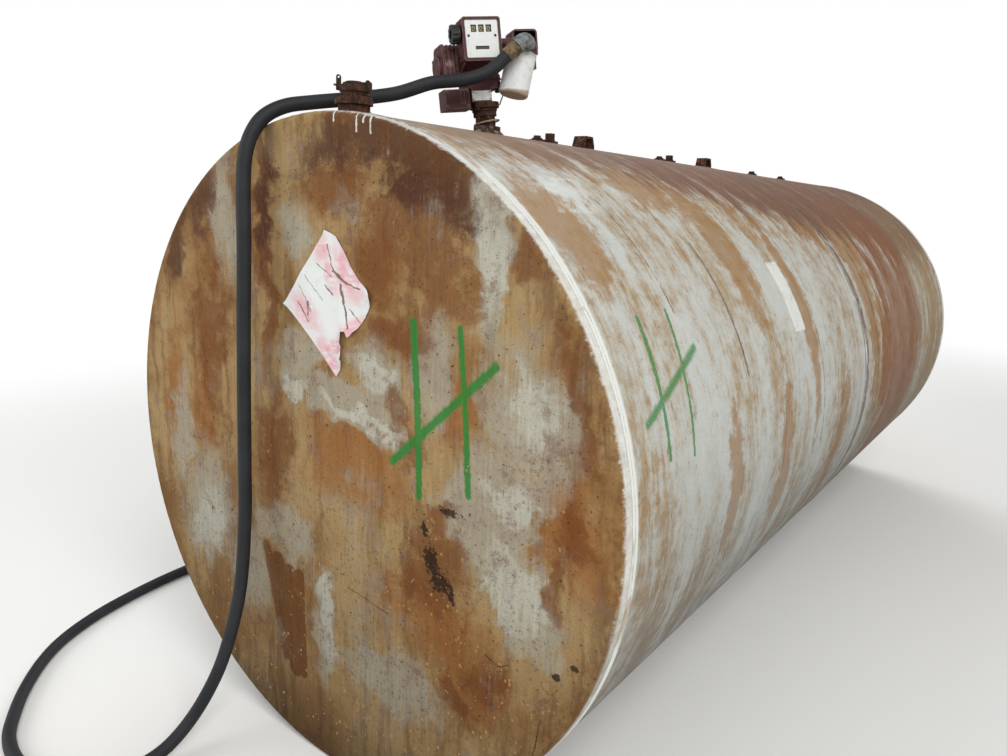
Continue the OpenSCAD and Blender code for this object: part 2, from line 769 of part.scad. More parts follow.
module outlet_elbow() {
    color("darkgray") elbow_frame() {
        translate([elbow_r, 0, -elbow_r]) rotate([90, 0, 180])
            rotate_extrude(angle = 90, $fn = 64) translate([elbow_r, 0]) circle(d = elbow_d, $fn = 48);
        translate([0, 0, -elbow_r - elbow_collar]) cylinder(h = elbow_collar, d = elbow_d + 2 * collar_lip);
        translate([elbow_r, 0, 0]) rotate([0, 90, 0]) cylinder(h = elbow_collar, d = elbow_d + 2 * collar_lip);
    }
}
module hose_coupling() {
    start = elbow_r + elbow_collar;
    color("darkgoldenrod") elbow_frame() translate([start, 0, 0]) rotate([0, 90, 0]) {
        cylinder(h = coupling_len * 0.55, d = coupling_d, $fn = 6);
        translate([0, 0, coupling_len * 0.55]) cylinder(h = coupling_len * 0.45, d = hose_d + 4);
    }
}

// Nozzle boot
module nozzle_boot() {
    color("brown") pump_at() translate(boot_at) difference() {
        facing_front(-boot_d / 2, boot_d) rounded(boot_w, boot_h, 12);
        facing_front(-boot_d / 2 - 1, boot_d - boot_wall + 1)
            rounded(boot_w - 2 * boot_wall, boot_h - 2 * boot_wall, 8);
    }
}
module boot_bracket() {
    left = casing_x + casing_w;
    right = boot_at[0] - boot_w / 2;
    z0 = casing_top - 26;
    color("maroon") pump_at() {
        translate([left, boot_at[1] - 9, z0]) cube([8, 30, 24]);
        translate([left, boot_at[1] + 1, z0]) cube([right - left, 8, boot_at[2] + 10 - z0]);
    }
}
module boot_rest() {
    top = boot_at[2] - boot_h / 2;
    color("darkslategray") pump_at() {
        translate([boot_at[0] + 12, boot_at[1] - 4, top - rest_gap - 38]) cube([30, 30, 38]);
        translate([boot_at[0] + 12, boot_at[1] + 20, top - rest_gap]) cube([24, 6, rest_gap]);
    }
}
module bonding_wire() {
    wire_r = 2;
    boss_x = casing_x + casing_w + 6 + wire_r + lid_gap;
    edge_x = pump_flange_d / 2 + wire_r + lid_gap;
    route = [
        for (p = [
            [boss_x, 0, casing_z + 34], [boss_x + 7, -3, casing_z + 28], [boss_x + 10, -6, casing_z + 8],
            [edge_x + 14, -8, flange_top + 23], [edge_x + 6, -7, flange_top + 5], [edge_x, -6, flange_top - 8]
        ]) pump_place(p)
    ];
    color("black") sweep(smooth_path(route, 3, wire_r), wire_r, 8);
}

// Bungs and lifting lugs on the crown
module bung(y, x, plug_h, square_head) {
    difference() {
        translate([x, y, crown_z - 8]) {
            cylinder(h = 8 + bung_h, d = bung_d);
            cylinder(h = 8 + bung_h + 5, d = bung_d * 0.7, $fn = 6);
        }
        tank_body();
    }
    translate([x, y, crown_z + bung_h + 5]) {
        if (square_head) {
            translate([-plug_af / 2, -plug_af / 2, 0]) cube([plug_af, plug_af, plug_h]);
        } else {
            cylinder(h = plug_h, d = plug_af * 1.15, $fn = 6);
        }
    }
}
module front_bungs() {
    color("saddlebrown") {
        bung(front_y + front_bung_from_head, 0, 8, false);
        bung(front_y + front_plug_from_head, 0, 22, true);
    }
}
module middle_bungs() {
    color("saddlebrown") {
        bung(front_y + middle_bung_from_head, 0, 7, false);
        bung(front_y + middle_plug_from_head, 0, 18, true);
    }
}
module rear_bungs() {
    color("saddlebrown") {
        bung(front_y + rear_plug_from_head, 0, 9, true);
        bung(front_y + rear_bung_from_head, 0, 8, false);
    }
}
module lifting_lug(y) {
    top_len = lug_len * 0.66;
    difference() {
        translate([-lug_w / 2, y, crown_z - 8]) rotate([90, 0, 90]) linear_extrude(lug_w) difference() {
            polygon([[-lug_len / 2, 0], [lug_len / 2, 0], [lug_len / 2, lug_h * 0.5], [top_len / 2, 8 + lug_h],
                [-top_len / 2, 8 + lug_h], [-lug_len / 2, lug_h * 0.5]]);
            polygon([[-lug_len / 2 + lug_t, -1], [lug_len / 2 - lug_t, -1],
                [lug_len / 2 - lug_t, lug_h * 0.5 - 2], [top_len / 2 - lug_t * 0.6, 8 + lug_h - lug_t],
                [-top_len / 2 + lug_t * 0.6, 8 + lug_h - lug_t], [-lug_len / 2 + lug_t, lug_h * 0.5 - 2]]);
        }
        tank_body();
    }
}
module front_lifting_lug() {
    color("sienna") lifting_lug(front_y + front_lug_from_head);
}
module rear_lifting_lug() {
    color("sienna") lifting_lug(front_y + rear_lug_from_head);
}

// Hose, coil and nozzle
module hose() {
    color("black") sweep(smooth_path(hose_route, 2, hose_r), hose_r, 12);
}
module hose_coil() {
    color("black") translate([coil_mid[0], coil_mid[1], 0]) rotate_extrude($fn = 96)
        translate([coil_r - hose_r, 0]) square([hose_d, coil_turns_high * hose_d]);
}
module hose_tail() {
    color("black") sweep(smooth_path(tail_route, 2, hose_r), hose_r, 12);
}
module nozzle_frame() {
    translate(nozzle_at) rotate([0, 0, nozzle_turn]) children();
}
module nozzle_body() {
    color("silver") nozzle_frame() {
        along_x(0, swivel_len, swivel_d / 2);
        along_x(swivel_len, grip_len, grip_d / 2);
        along_x(swivel_len + grip_len, valve_len, swivel_d / 2);
        translate([swivel_len + grip_len + 24, 0, 0]) rotate([90, 0, 0]) cylinder(h = 34, d = 34);
    }
}
module spout_end() {
    translate([spout_lead, spout_bend, 0]) rotate([0, 0, spout_angle]) translate([0, -spout_bend, 0]) children();
}
module nozzle_spout() {
    start = swivel_len + grip_len + valve_len;
    color("lightgray") nozzle_frame() translate([start, 0, 0]) difference() {
        union() {
            translate([spout_lead, spout_bend, 0]) rotate([0, 0, -90]) rotate_extrude(angle = spout_angle, $fn = 64)
                translate([spout_bend, 0]) circle(d = spout_d, $fn = 32);
            along_x(0, spout_lead, spout_d / 2);
            spout_end() along_x(0, spout_len, spout_d / 2 - spout_step);
        }
        spout_end() along_x(spout_len - spout_bore_len, spout_bore_len + 1, spout_d / 2 - spout_wall);
    }
}
module nozzle_guard() {
    x0 = swivel_len + 4;
    x1 = swivel_len + grip_len + 20;
    deep = 62;
    color("black") nozzle_frame() translate([0, 0, -9]) linear_extrude(18) polygon([
        [x0, grip_d / 2], [x0, deep], [x0 + 12, deep + 10], [x1 - 12, deep + 10], [x1, deep],
        [x1, swivel_d / 2 + 0.3], [x1 - 6, swivel_d / 2 + 0.3], [x1 - 6, deep - 3], [x1 - 14, deep + 4],
        [x0 + 14, deep + 4], [x0 + 6, deep - 3], [x0 + 6, grip_d / 2]
    ]);
}

front_head();
rear_head();
front_course();
rear_course();
front_head_weld();
rear_head_weld();
girth_seam();
fill_saddle();
fill_neck();
fill_cap_base();
fill_cap();
pump_boss();
riser_pipe();
pump_flange();
pump_casing();
motor_housing();
motor_cover();
switch_box();
nameplate();
meter_housing();
meter_face();
counter_wheels();
reset_knob();
outlet_pipe();
filter_head();
filter_can();
outlet_elbow();
hose_coupling();
nozzle_boot();
boot_bracket();
boot_rest();
wire_loop();
bonding_wire();
front_bungs();
middle_bungs();
rear_bungs();
front_lifting_lug();
rear_lifting_lug();
hose();
hose_coil();
hose_tail();
nozzle_body();
nozzle_spout();
nozzle_guard();
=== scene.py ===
"""Looks of a weathered horizontal farm fuel tank with a transfer pump on its crown.

Lengths are metres in the tank's own frame: Y runs along the tank, the head with the fill
fitting faces -Y, X runs across it and Z is up from the ground.
"""

import logging
import math
import random
from dataclasses import dataclass
from enum import Enum
from typing import Any, Callable, Iterable, Sequence

import bmesh
import bpy
from mathutils import Matrix, Vector


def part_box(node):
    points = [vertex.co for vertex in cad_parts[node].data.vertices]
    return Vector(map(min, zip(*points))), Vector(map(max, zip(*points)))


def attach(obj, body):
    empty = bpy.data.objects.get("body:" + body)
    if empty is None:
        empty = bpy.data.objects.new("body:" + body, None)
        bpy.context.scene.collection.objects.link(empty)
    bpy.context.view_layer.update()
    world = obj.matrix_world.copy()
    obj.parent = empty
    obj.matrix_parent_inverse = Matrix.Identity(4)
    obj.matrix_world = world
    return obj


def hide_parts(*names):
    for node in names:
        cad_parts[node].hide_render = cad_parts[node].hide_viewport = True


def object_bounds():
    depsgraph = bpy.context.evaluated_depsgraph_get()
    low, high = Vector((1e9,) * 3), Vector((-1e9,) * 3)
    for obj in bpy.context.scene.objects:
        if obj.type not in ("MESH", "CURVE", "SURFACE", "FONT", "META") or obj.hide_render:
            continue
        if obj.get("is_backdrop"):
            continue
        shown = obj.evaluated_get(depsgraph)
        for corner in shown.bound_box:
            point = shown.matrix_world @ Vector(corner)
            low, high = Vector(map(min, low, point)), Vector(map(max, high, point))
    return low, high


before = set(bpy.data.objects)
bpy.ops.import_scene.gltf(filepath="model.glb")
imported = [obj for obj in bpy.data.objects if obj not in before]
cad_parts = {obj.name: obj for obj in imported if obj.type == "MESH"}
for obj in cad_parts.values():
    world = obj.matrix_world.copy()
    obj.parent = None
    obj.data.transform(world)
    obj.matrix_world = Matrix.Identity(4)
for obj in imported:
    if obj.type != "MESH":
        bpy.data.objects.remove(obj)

LOG = logging.getLogger("fuel_tank")

TANK_RADIUS = 0.9144
AXIS_HEIGHT = 0.91319
CROWN = AXIS_HEIGHT + TANK_RADIUS
FRONT = -2.083
PUMP_FROM_HEAD = 0.670
PUMP_LEAN = 7.0
PUMP_LEAN_AXIS = (0.6, -0.8, 0.0)
PUMP_TURN = 56.0
ELBOW_MIDDLE = (0.102, -0.135, 0.258)
ELBOW_INLET = (0.45, 0.80, -0.40)
ELBOW_OUTLET = (-0.85, -0.05, -0.52)
FILL_FROM_HEAD = 0.120
FILL_TURN = 36.0

FORWARD = (0.0, -1.0, 0.0)
RIGHT = (1.0, 0.0, 0.0)
LEFT = (-1.0, 0.0, 0.0)
DOWN = (0.0, 0.0, -1.0)
WELD_ROUGHNESS = 0.0006
WELD_SMOOTH = 80.0
WAVE_UNIT = 0.314
SHARP_ANGLE = 0.6
EDGE_DETAIL = 2.0
EDGE_ROUGHNESS = 0.62
WHITE = (1.0, 1.0, 1.0, 1.0)

Point = tuple[float, float, float]
Spot = tuple[float, float]
Hoop = tuple[float, float, int, int]
Input = Any
Socket = bpy.types.NodeSocket
Material = bpy.types.Material


class Slot(Enum):
    """Slots of the record, one named for each new piece."""

    RUSTY_STEEL = "rusty_steel"
    OCHRE_RUST = "ochre_rust"
    WHITE_FACE = "white_face"
    ALUMINIUM = "bare_aluminium"
    RUBBER = "black_rubber"
    PLASTIC = "black_plastic"
    COUNTER = "counter_plastic"


class Tone(Enum):
    """Colours of the finishes, written as they look in plain light."""

    HEAD_TAN = "#8a6840"
    HEAD_OCHRE = "#a2875d"
    HEAD_BROWN = "#684626"
    HEAD_GREY = "#a3a191"
    HEAD_PALE = "#bcbcaf"
    HEAD_ORANGE = "#8c5625"
    HEAD_DEEP = "#673a14"
    HEAD_RUST = "#6d3d1c"
    HEAD_DARK = "#482c23"
    HEAD_BLACK = "#251912"
    # Colour of the blisters, and also the painted highlight in the middle of the painted ones.
    BLISTER_AND_HIGHLIGHT = "#98723f"
    SHELL_WHITE = "#bfc2bd"
    SHELL_GREY = "#97958c"
    SHELL_TAN = "#a08b6b"
    SHELL_OCHRE = "#966f3f"
    SHELL_CROWN = "#80604f"
    SHELL_CROWN_DARK = "#5d4137"
    SHELL_BAND = "#8b5f42"
    RIM_WHITE = "#dadcd6"
    SPRAY_GREEN = "#2c7a34"
    STEEL_DARK = "#2b1d18"
    STEEL_RUST = "#4f3324"
    STEEL_ORANGE = "#7a4c2a"
    MAROON_DEEP = "#401316"
    MAROON_WORN = "#6b3a35"
    MAROON_EDGE = "#a5887a"
    PLATE_WHITE = "#dfe2e0"
    PLATE_DIRT = "#9c8a6c"
    ALUMINIUM = "#8f9595"
    ALUMINIUM_DULL = "#5f6160"
    BRASS = "#7f6c4c"
    BRASS_DULL = "#4c3e2c"
    RUBBER = "#1c1e21"
    RUBBER_DUST = "#2e3034"
    PLASTIC = "#191a1a"
    PLASTIC_GREY = "#3b403a"
    WHEEL = "#4d4529"
    DIGIT = "#b1a673"
    WIRE_TAN = "#9b8763"
    PLACARD_PINK = "#e09ca8"
    FLOOR = "#f4f4f2"

    def linear(self) -> tuple[float, float, float, float]:
        """The colour as Blender's linear red, green, blue and alpha."""
        return linear_colour(self.value)


def linear_colour(code: str) -> tuple[float, float, float, float]:
    """Turns a written colour into Blender's linear values.

    Args:
        code: a colour such as "#9b7749".

    Returns:
        Red, green, blue and an alpha of 1.
    """
    parts = [int(code[i : i + 2], 16) / 255 for i in (1, 3, 5)]
    return tuple(
        c / 12.92 if c <= 0.04045 else ((c + 0.055) / 1.055) ** 2.4 for c in parts
    ) + (1.0,)


class Value:
    """A number that changes over a surface, held as one output of a node."""

    def __init__(self, graph: "Graph", socket: Socket) -> None:
        """Wraps a socket of a graph."""
        self.graph = graph
        self.socket = socket

    def _math(self, operation: str, *numbers: "Value | float") -> "Value":
        """Adds one Math node.

        Args:
            operation: the Math node's operation.
            numbers: its inputs in order.

        Returns:
            The node's result.
        """
        node = self.graph.node(
            "ShaderNodeMath", {"operation": operation}, dict(enumerate(numbers))
        )
        return Value(self.graph, node.outputs[0])

    def __add__(self, other: "Value | float") -> "Value":
        """Sum of two values."""
        return self._math("ADD", self, other)

    __radd__ = __add__

    def __sub__(self, other: "Value | float") -> "Value":
        """Difference of two values."""
        return self._math("SUBTRACT", self, other)

    def __rsub__(self, other: float) -> "Value":
        """A number less this value."""
        return self._math("SUBTRACT", other, self)

    def __mul__(self, other: "Value | float") -> "Value":
        """Product of two values."""
        return self._math("MULTIPLY", self, other)

    __rmul__ = __mul__

    def __abs__(self) -> "Value":
        """Size of the value without its sign."""
        return self._math("ABSOLUTE", self)

    def most(self, other: "Value | float") -> "Value":
        """The greater of two values."""
        return self._math("MAXIMUM", self, other)

    def least(self, other: "Value | float") -> "Value":
        """The lesser of two values."""
        return self._math("MINIMUM", self, other)

    def angle_from(self, other: "Value") -> "Value":
        """Angle whose tangent is this value over the other."""
        return self._math("ARCTAN2", self, other)

    def fade(self, start: float, end: float) -> "Value":
        """A soft step.

        Args:
            start: where the result is 0.
            end: where the result is 1; it may be below start.

        Returns:
            The step, from 0 to 1.
        """
        node = self.graph.node(
            "ShaderNodeMapRange",
            {"interpolation_type": "SMOOTHSTEP", "clamp": False},
            {"Value": self, "From Min": start, "From Max": end, "To Min": 0.0, "To Max": 1.0},
        )
        return Value(self.graph, node.outputs[0])

    def eaten(self, noise: "Value", reach: float, soft: float) -> "Value":
        """Eats the edge of a mask away with noise."""
        return (self + (noise - 0.5) * reach).fade(0.5 - soft, 0.5 + soft)

    def between(self, low: float, high: float, soft: float) -> "Value":
        """A band that is 1 from low to high."""
        return self.fade(low - soft, low + soft) * self.fade(high + soft, high - soft)


class Graph:
    """The node tree of one material or of the world."""

    def __init__(self, name: str, world: bpy.types.World | None = None) -> None:
        """Starts an empty material of that name, or empties a world.

        Args:
            name: name of the material.
            world: the world, if the nodes are a world's.
        """
        self.material = world or bpy.data.materials.new(name)
        self.material.use_nodes = True
        self.tree = self.material.node_tree
        self.tree.nodes.clear()

    def node(
        self,
        kind: str,
        settings: dict[str, Any] | None = None,
        inputs: dict[str | int, Input] | None = None,
    ) -> bpy.types.Node:
        """Adds a node, with its settings first and then its sockets.

        Args:
            kind: the node's type.
            settings: its own properties.
            inputs: values or links of its sockets by name or place.

        Returns:
            The new node.
        """
        node = self.tree.nodes.new(kind)
        for key, value in (settings or {}).items():
            setattr(node, key, value)
        for key, value in (inputs or {}).items():
            socket = node.inputs[key]
            link = value.socket if isinstance(value, Value) else value
            if isinstance(link, Socket):
                self.tree.links.new(link, socket)
            else:
                socket.default_value = value
        return node

    def place(self) -> Socket:
        """The point of the surface in the tank's frame."""
        return self.node("ShaderNodeTexCoord").outputs["Object"]

    def parts(self, vector: Socket) -> tuple[Value, Value, Value]:
        """The three numbers of a vector."""
        outputs = self.node("ShaderNodeSeparateXYZ", None, {0: vector}).outputs
        return tuple(Value(self, output) for output in outputs)

    def vector(self, x: Input = 0.0, y: Input = 0.0, z: Input = 0.0) -> Socket:
        """A vector from three values."""
        return self.node("ShaderNodeCombineXYZ", None, {0: x, 1: y, 2: z}).outputs[0]

    def vector_math(self, operation: str, inputs: Sequence[Input]) -> Any:
        """The outputs of a Vector Math node."""
        settings = {"operation": operation}
        return self.node("ShaderNodeVectorMath", settings, dict(enumerate(inputs))).outputs

    def vectors(self, operation: str, *inputs: Input) -> Socket:
        """A vector worked out from others."""
        return self.vector_math(operation, inputs)[0]

    def measured(self, operation: str, *inputs: Input) -> Value:
        """A number worked out from vectors."""
        return Value(self, self.vector_math(operation, inputs)["Value"])

    def stretch(
        self, vector: Socket, scale: Point, shift: Point = (0.0, 0.0, 0.0)
    ) -> Socket:
        """A vector scaled along each axis, and then shifted."""
        return self.vectors("MULTIPLY_ADD", vector, scale, shift)

    def seen_from(
        self, place: Socket, middle: Point, turn: Point, scale: Point = (1.0, 1.0, 1.0)
    ) -> Socket:
        """Gives a place as a moved, turned and scaled frame sees it.

        Args:
            place: the place.
            middle: the frame's middle.
            turn: its turn about each axis.
            scale: its unit along each axis.

        Returns:
            The place in that frame.
        """
        return self.node(
            "ShaderNodeMapping",
            {"vector_type": "TEXTURE"},
            {"Vector": place, "Location": middle, "Rotation": turn, "Scale": scale},
        ).outputs[0]

    def clouds(self, vector: Socket, scale: float, detail: float, roughness: float) -> Any:
        """The outputs of a noise node: a number and a colour."""
        inputs = {"Vector": vector, "Scale": scale, "Detail": detail, "Roughness": roughness}
        return self.node("ShaderNodeTexNoise", None, inputs).outputs

    def noise(
        self, vector: Socket, scale: float, detail: float = 4.0, roughness: float = 0.55
    ) -> Value:
        """Cloudy noise around 0.5."""
        return Value(self, self.clouds(vector, scale, detail, roughness)[0])

    def ragged(self, vector: Socket, scale: float, reach: float) -> Socket:
        """Pushes a place about by noise, so that a patch gets a ragged edge.

        Args:
            vector: the place.
            scale: how fine the edge is.
            reach: how far it is pushed.

        Returns:
            The pushed place.
        """
        noise = self.clouds(vector, scale, EDGE_DETAIL, EDGE_ROUGHNESS)[1]
        push = self.stretch(noise, (2 * reach, 2 * reach, 0.0), (-reach, -reach, 0.0))
        return self.vectors("ADD", vector, push)

    def cells(self, vector: Socket, scale: float, share: float) -> tuple[Value, Value]:
        """Scattered points.

        Args:
            vector: where they are read.
            scale: how many there are along a metre.
            share: the share of them that is kept.

        Returns:
            The distance to the nearest point as a share of its cell, and whether it is kept.
        """
        inputs = {"Vector": vector, "Scale": scale}
        made = self.node("ShaderNodeTexVoronoi", {"feature": "F1"}, inputs)
        pick = self.parts(made.outputs["Color"])[0]
        return Value(self, made.outputs["Distance"]), pick.fade(1 - share, 1.02 - share)

    def spots(self, vector: Socket, scale: float, size: float, share: float) -> Value:
        """Scattered round spots."""
        distance, kept = self.cells(vector, scale, share)
        return distance.fade(size, size * 0.55) * kept

    def blend(self, amount: Input, first: Input, second: Input) -> Socket:
        """Mixes two colours.

        Args:
            amount: share of the second colour.
            first: a tone or a colour socket.
            second: a tone or a colour socket.

        Returns:
            The mixed colour.
        """
        first, second = (c.linear() if isinstance(c, Tone) else c for c in (first, second))
        settings = {"data_type": "RGBA", "clamp_factor": True}
        return self.node("ShaderNodeMix", settings, {0: amount, 6: first, 7: second}).outputs[2]

    def shaded(self, colour: Input, level: Value) -> Socket:
        """A colour made lighter or darker by a factor around 1."""
        inputs = {0: colour, "Scale": level}
        return self.node("ShaderNodeVectorMath", {"operation": "SCALE"}, inputs).outputs[0]

    def edge_mask(self, width: float) -> Value:
        """Finds outer and inner edges.

        Args:
            width: how far the wear reaches from an edge.

        Returns:
            A mask that is 1 at the edges.
        """
        rounded = self.node("ShaderNodeBevel", {"samples": 4}, {"Radius": width}).outputs[0]
        plain = self.node("ShaderNodeNewGeometry").outputs["Normal"]
        return self.measured("DOT_PRODUCT", rounded, plain).fade(0.985, 0.86)

    def relief(self, height: Value, depth: float, strength: float = 1.0) -> Socket:
        """A bumped normal."""
        inputs = {"Strength": strength, "Distance": depth, "Height": height}
        return self.node("ShaderNodeBump", None, inputs).outputs[0]

    def surface(
        self,
        colour: Input,
        roughness: Input,
        normal: Socket | None = None,
        specular: float = 0.5,
        metallic: float = 0.0,
    ) -> Material:
        """Closes the material with its shader.

        Args:
            colour: the colour socket.
            roughness: a number or a value.
            normal: a bumped normal.
            specular: level of the plain reflection.
            metallic: how much of a metal it is.

        Returns:
            The finished material.
        """
        inputs: dict[str | int, Input] = {
            "Base Color": colour,
            "Roughness": roughness,
            "Metallic": metallic,
            "Specular IOR Level": specular,
        }
        if normal is not None:
            inputs["Normal"] = normal
        self.close("ShaderNodeOutputMaterial", self.node("ShaderNodeBsdfPrincipled", None, inputs))
        return self.material

    def close(self, kind: str, shader: bpy.types.Node) -> None:
        """Joins the last shader to an output node."""
        self.node(kind, None, {"Surface": shader.outputs[0]})


@dataclass(frozen=True)
class Patch:
    """A soft oval patch on a flat or unrolled surface."""

    across: float
    up: float
    width: float
    height: float
    lean: float = 0.0
    soft: float = 0.35

    def mask(self, graph: Graph, place: Socket) -> Value:
        """Draws the patch.

        Args:
            graph: the material's graph.
            place: the place on the surface, with a third number of 0.

        Returns:
            A mask that is 1 inside the patch.
        """
        middle = (self.across, self.up, 0.0)
        turn = (0.0, 0.0, math.radians(self.lean))
        turned = graph.seen_from(place, middle, turn, (self.width, self.height, 1.0))
        return graph.measured("LENGTH", turned).fade(1 + self.soft, 1 - self.soft)


@dataclass(frozen=True)
class Stroke:
    """A straight stroke of paint or rust between two spots."""

    start: Spot
    end: Spot
    width: float
    soft: float = 0.25

    def mask(self, graph: Graph, place: Socket) -> Value:
        """Draws the stroke.

        Args:
            graph: the material's graph.
            place: the place on the surface, with a third number of 0.

        Returns:
            A mask that is 1 inside the stroke.
        """
        run = Vector(self.end) - Vector(self.start)
        middle = (Vector(self.end) + Vector(self.start)) / 2
        turn = (0.0, 0.0, math.atan2(run.y, run.x))
        along, across, _ = graph.parts(graph.seen_from(place, (*middle, 0.0), turn))
        past_end = (abs(along) - run.length / 2).most(0.0)
        reach = graph.measured("LENGTH", graph.vector(past_end, across))
        half = self.width / 2
        return reach.fade(half * (1 + self.soft), half * (1 - self.soft))


def patches(*rows: Sequence[float]) -> tuple[Patch, ...]:
    """Patches from rows of their numbers, in the order of their fields."""
    return tuple(Patch(*row) for row in rows)


def strokes(*rows: Sequence[float]) -> tuple[Stroke, ...]:
    """Strokes from rows of the start's two numbers, the end's two, the width and the softness."""
    return tuple(Stroke(row[:2], row[2:4], *row[4:]) for row in rows)


def gathered(graph: Graph, place: Socket, marks: Iterable[Patch | Stroke]) -> Value:
    """Joins several patches or strokes, one by one.

    Args:
        graph: the material's graph.
        place: the place on the surface.
        marks: the patches or strokes.

    Returns:
        One mask that is 1 inside any of them.
    """
    whole: Value | None = None
    for mark in marks:
        mask = mark.mask(graph, place)
        whole = mask if whole is None else whole.most(mask)
    return whole


@dataclass(frozen=True)
class HeadPaint:
    """Ochre primer, grey paint and rust of the flat head that faces the camera."""

    grey: tuple[Patch, ...] = patches(
        (0.555, 1.6, 0.07, 0.1, -20, 0.5), (0.55, 1.48, 0.048, 0.18, 4, 0.5),
        (-0.42, 1.58, 0.085, 0.16, 8, 0.6), (-0.1, 1.54, 0.055, 0.08, 0, 0.6),
        (0.09, 1.6, 0.06, 0.03, 8, 0.6), (-0.09, 1.16, 0.07, 0.1, 10, 0.5),
        (0.2, 1.19, 0.1, 0.11, 0, 0.5), (0.13, 1.06, 0.2, 0.05, -12, 0.3),
        (0.4, 1.26, 0.065, 0.13, 0, 0.6), (0.66, 1.2, 0.11, 0.15, 0, 0.6),
        (0.58, 1.0, 0.13, 0.1, 20, 0.6), (0.6, 0.84, 0.095, 0.12, -10, 0.5),
        (0.68, 0.7, 0.08, 0.1, 25, 0.35), (0.52, 0.92, 0.06, 0.12, 0, 0.5),
        (-0.56, 0.66, 0.12, 0.22, -8, 0.6), (-0.7, 0.88, 0.05, 0.18, -6, 0.6),
        (-0.17, 0.66, 0.13, 0.08, -30, 0.4), (-0.36, 0.5, 0.1, 0.16, -15, 0.5),
        (0.0, 0.42, 0.06, 0.17, 0, 0.45), (0.26, 0.36, 0.17, 0.09, -8, 0.6),
    )
    bright: tuple[Patch, ...] = patches(
        (0.56, 1.55, 0.052, 0.16, -6, 0.5), (0.56, 1.61, 0.07, 0.06, -30, 0.6),
        (0.2, 1.19, 0.07, 0.05, 0, 0.7), (0.15, 1.045, 0.14, 0.018, -12, 0.4),
        (0.64, 0.76, 0.075, 0.09, 20, 0.6), (0.66, 1.23, 0.06, 0.07, 0, 0.8),
        (0.6, 0.98, 0.06, 0.05, 30, 0.8), (-0.56, 0.58, 0.07, 0.12, -8, 0.9),
        (0.01, 0.45, 0.035, 0.15, 0, 0.5), (-0.1, 1.1, 0.05, 0.03, -20, 0.5),
    )
    rust: tuple[Patch, ...] = patches(
        (0.36, 1.56, 0.11, 0.15, 0, 0.8), (0.43, 1.43, 0.1, 0.07, 0, 0.8),
        (0.22, 1.5, 0.08, 0.1, 0, 0.8), (0.05, 1.64, 0.15, 0.07, 0, 0.9),
        (0.3, 1.33, 0.1, 0.06, 0, 0.9), (0.26, 1.1, 0.05, 0.05, 0, 0.8),
        (-0.23, 1.4, 0.04, 0.38, 0, 0.7), (0.68, 1.54, 0.05, 0.06, -35, 0.7),
        (0.78, 1.26, 0.03, 0.13, 10, 0.8), (-0.5, 1.2, 0.08, 0.25, 0, 0.9),
        (0.77, 0.97, 0.055, 0.07, 0, 0.8), (0.41, 0.76, 0.09, 0.13, 0, 0.8),
        (0.44, 0.9, 0.05, 0.03, 0, 0.7), (0.33, 1.04, 0.045, 0.05, 0, 0.8),
        (0.6, 0.52, 0.06, 0.07, 20, 0.7), (0.48, 0.42, 0.07, 0.05, -20, 0.8),
        (-0.21, 0.95, 0.07, 0.22, 0, 0.9), (0.74, 0.79, 0.025, 0.1, 0, 0.7),
    )
    orange: tuple[Patch, ...] = patches(
        (0.11, 0.94, 0.2, 0.1, 0, 0.8), (0.77, 0.97, 0.13, 0.13, 0, 0.8),
        (0.55, 0.48, 0.12, 0.09, 10, 0.8), (0.84, 0.88, 0.06, 0.11, 0, 0.8),
        (0.5, 1.16, 0.05, 0.12, 0, 0.9), (-0.72, 1.02, 0.06, 0.2, 0, 0.9),
        (0.4, 0.6, 0.2, 0.1, 0, 0.9), (-0.55, 0.98, 0.06, 0.16, 0, 0.9),
    )
    dark: tuple[Patch, ...] = patches(
        (0.26, 1.735, 0.2, 0.065, -8, 0.7), (0.43, 1.66, 0.075, 0.12, 25, 0.6),
        (0.34, 1.62, 0.09, 0.07, 0, 0.9), (0.06, 1.74, 0.14, 0.06, 0, 0.9),
        (-0.22, 1.58, 0.03, 0.16, 0, 0.9), (-0.53, 1.62, 0.045, 0.12, -32, 0.9),
        (-0.68, 1.46, 0.035, 0.12, -22, 0.9),
    )
    black: tuple[Patch, ...] = patches(
        (0.395, 0.76, 0.022, 0.036, 20, 0.9), (0.425, 0.712, 0.03, 0.026, -10, 0.9),
        (0.462, 0.69, 0.009, 0.03, 8, 0.9), (0.372, 0.835, 0.009, 0.02, 30, 0.9),
        (0.45, 0.9, 0.03, 0.01, 0, 0.9), (0.815, 0.64, 0.01, 0.008, 0, 0.3),
        (0.77, 0.6, 0.012, 0.009, 30, 0.3),
    )
    deep: tuple[Stroke, ...] = strokes(
        (-0.265, 0.595, -0.205, 0.36, 0.045, 0.6), (-0.215, 0.565, -0.18, 0.28, 0.06, 0.5),
        (-0.16, 0.54, -0.145, 0.24, 0.06, 0.3), (-0.115, 0.55, -0.11, 0.24, 0.04, 0.15),
    )
    blistered: tuple[Patch, ...] = patches(
        (0.45, 0.62, 0.4, 0.22, -15, 0.6), (0.72, 0.98, 0.16, 0.13, 0, 0.6),
        (0.1, 0.55, 0.3, 0.25, 0, 0.8), (-0.1, 0.78, 0.25, 0.1, 0, 0.8),
        (0.3, 0.3, 0.4, 0.14, 0, 0.8),
    )
    tally: tuple[Stroke, ...] = strokes(
        (0.329, 1.341, 0.345, 1.13, 0.022), (0.345, 1.13, 0.353, 0.916, 0.021),
        (0.473, 1.342, 0.494, 1.14, 0.016), (0.494, 1.14, 0.507, 0.956, 0.018),
        (0.262, 0.985, 0.575, 1.27, 0.022, 0.45),
    )
    drips: tuple[Stroke, ...] = strokes(
        (0.14, 1.84, 0.14, 1.775, 0.005), (0.163, 1.835, 0.163, 1.795, 0.005),
        (0.187, 1.83, 0.187, 1.768, 0.005), (0.06, 1.84, 0.06, 1.8, 0.006),
    )
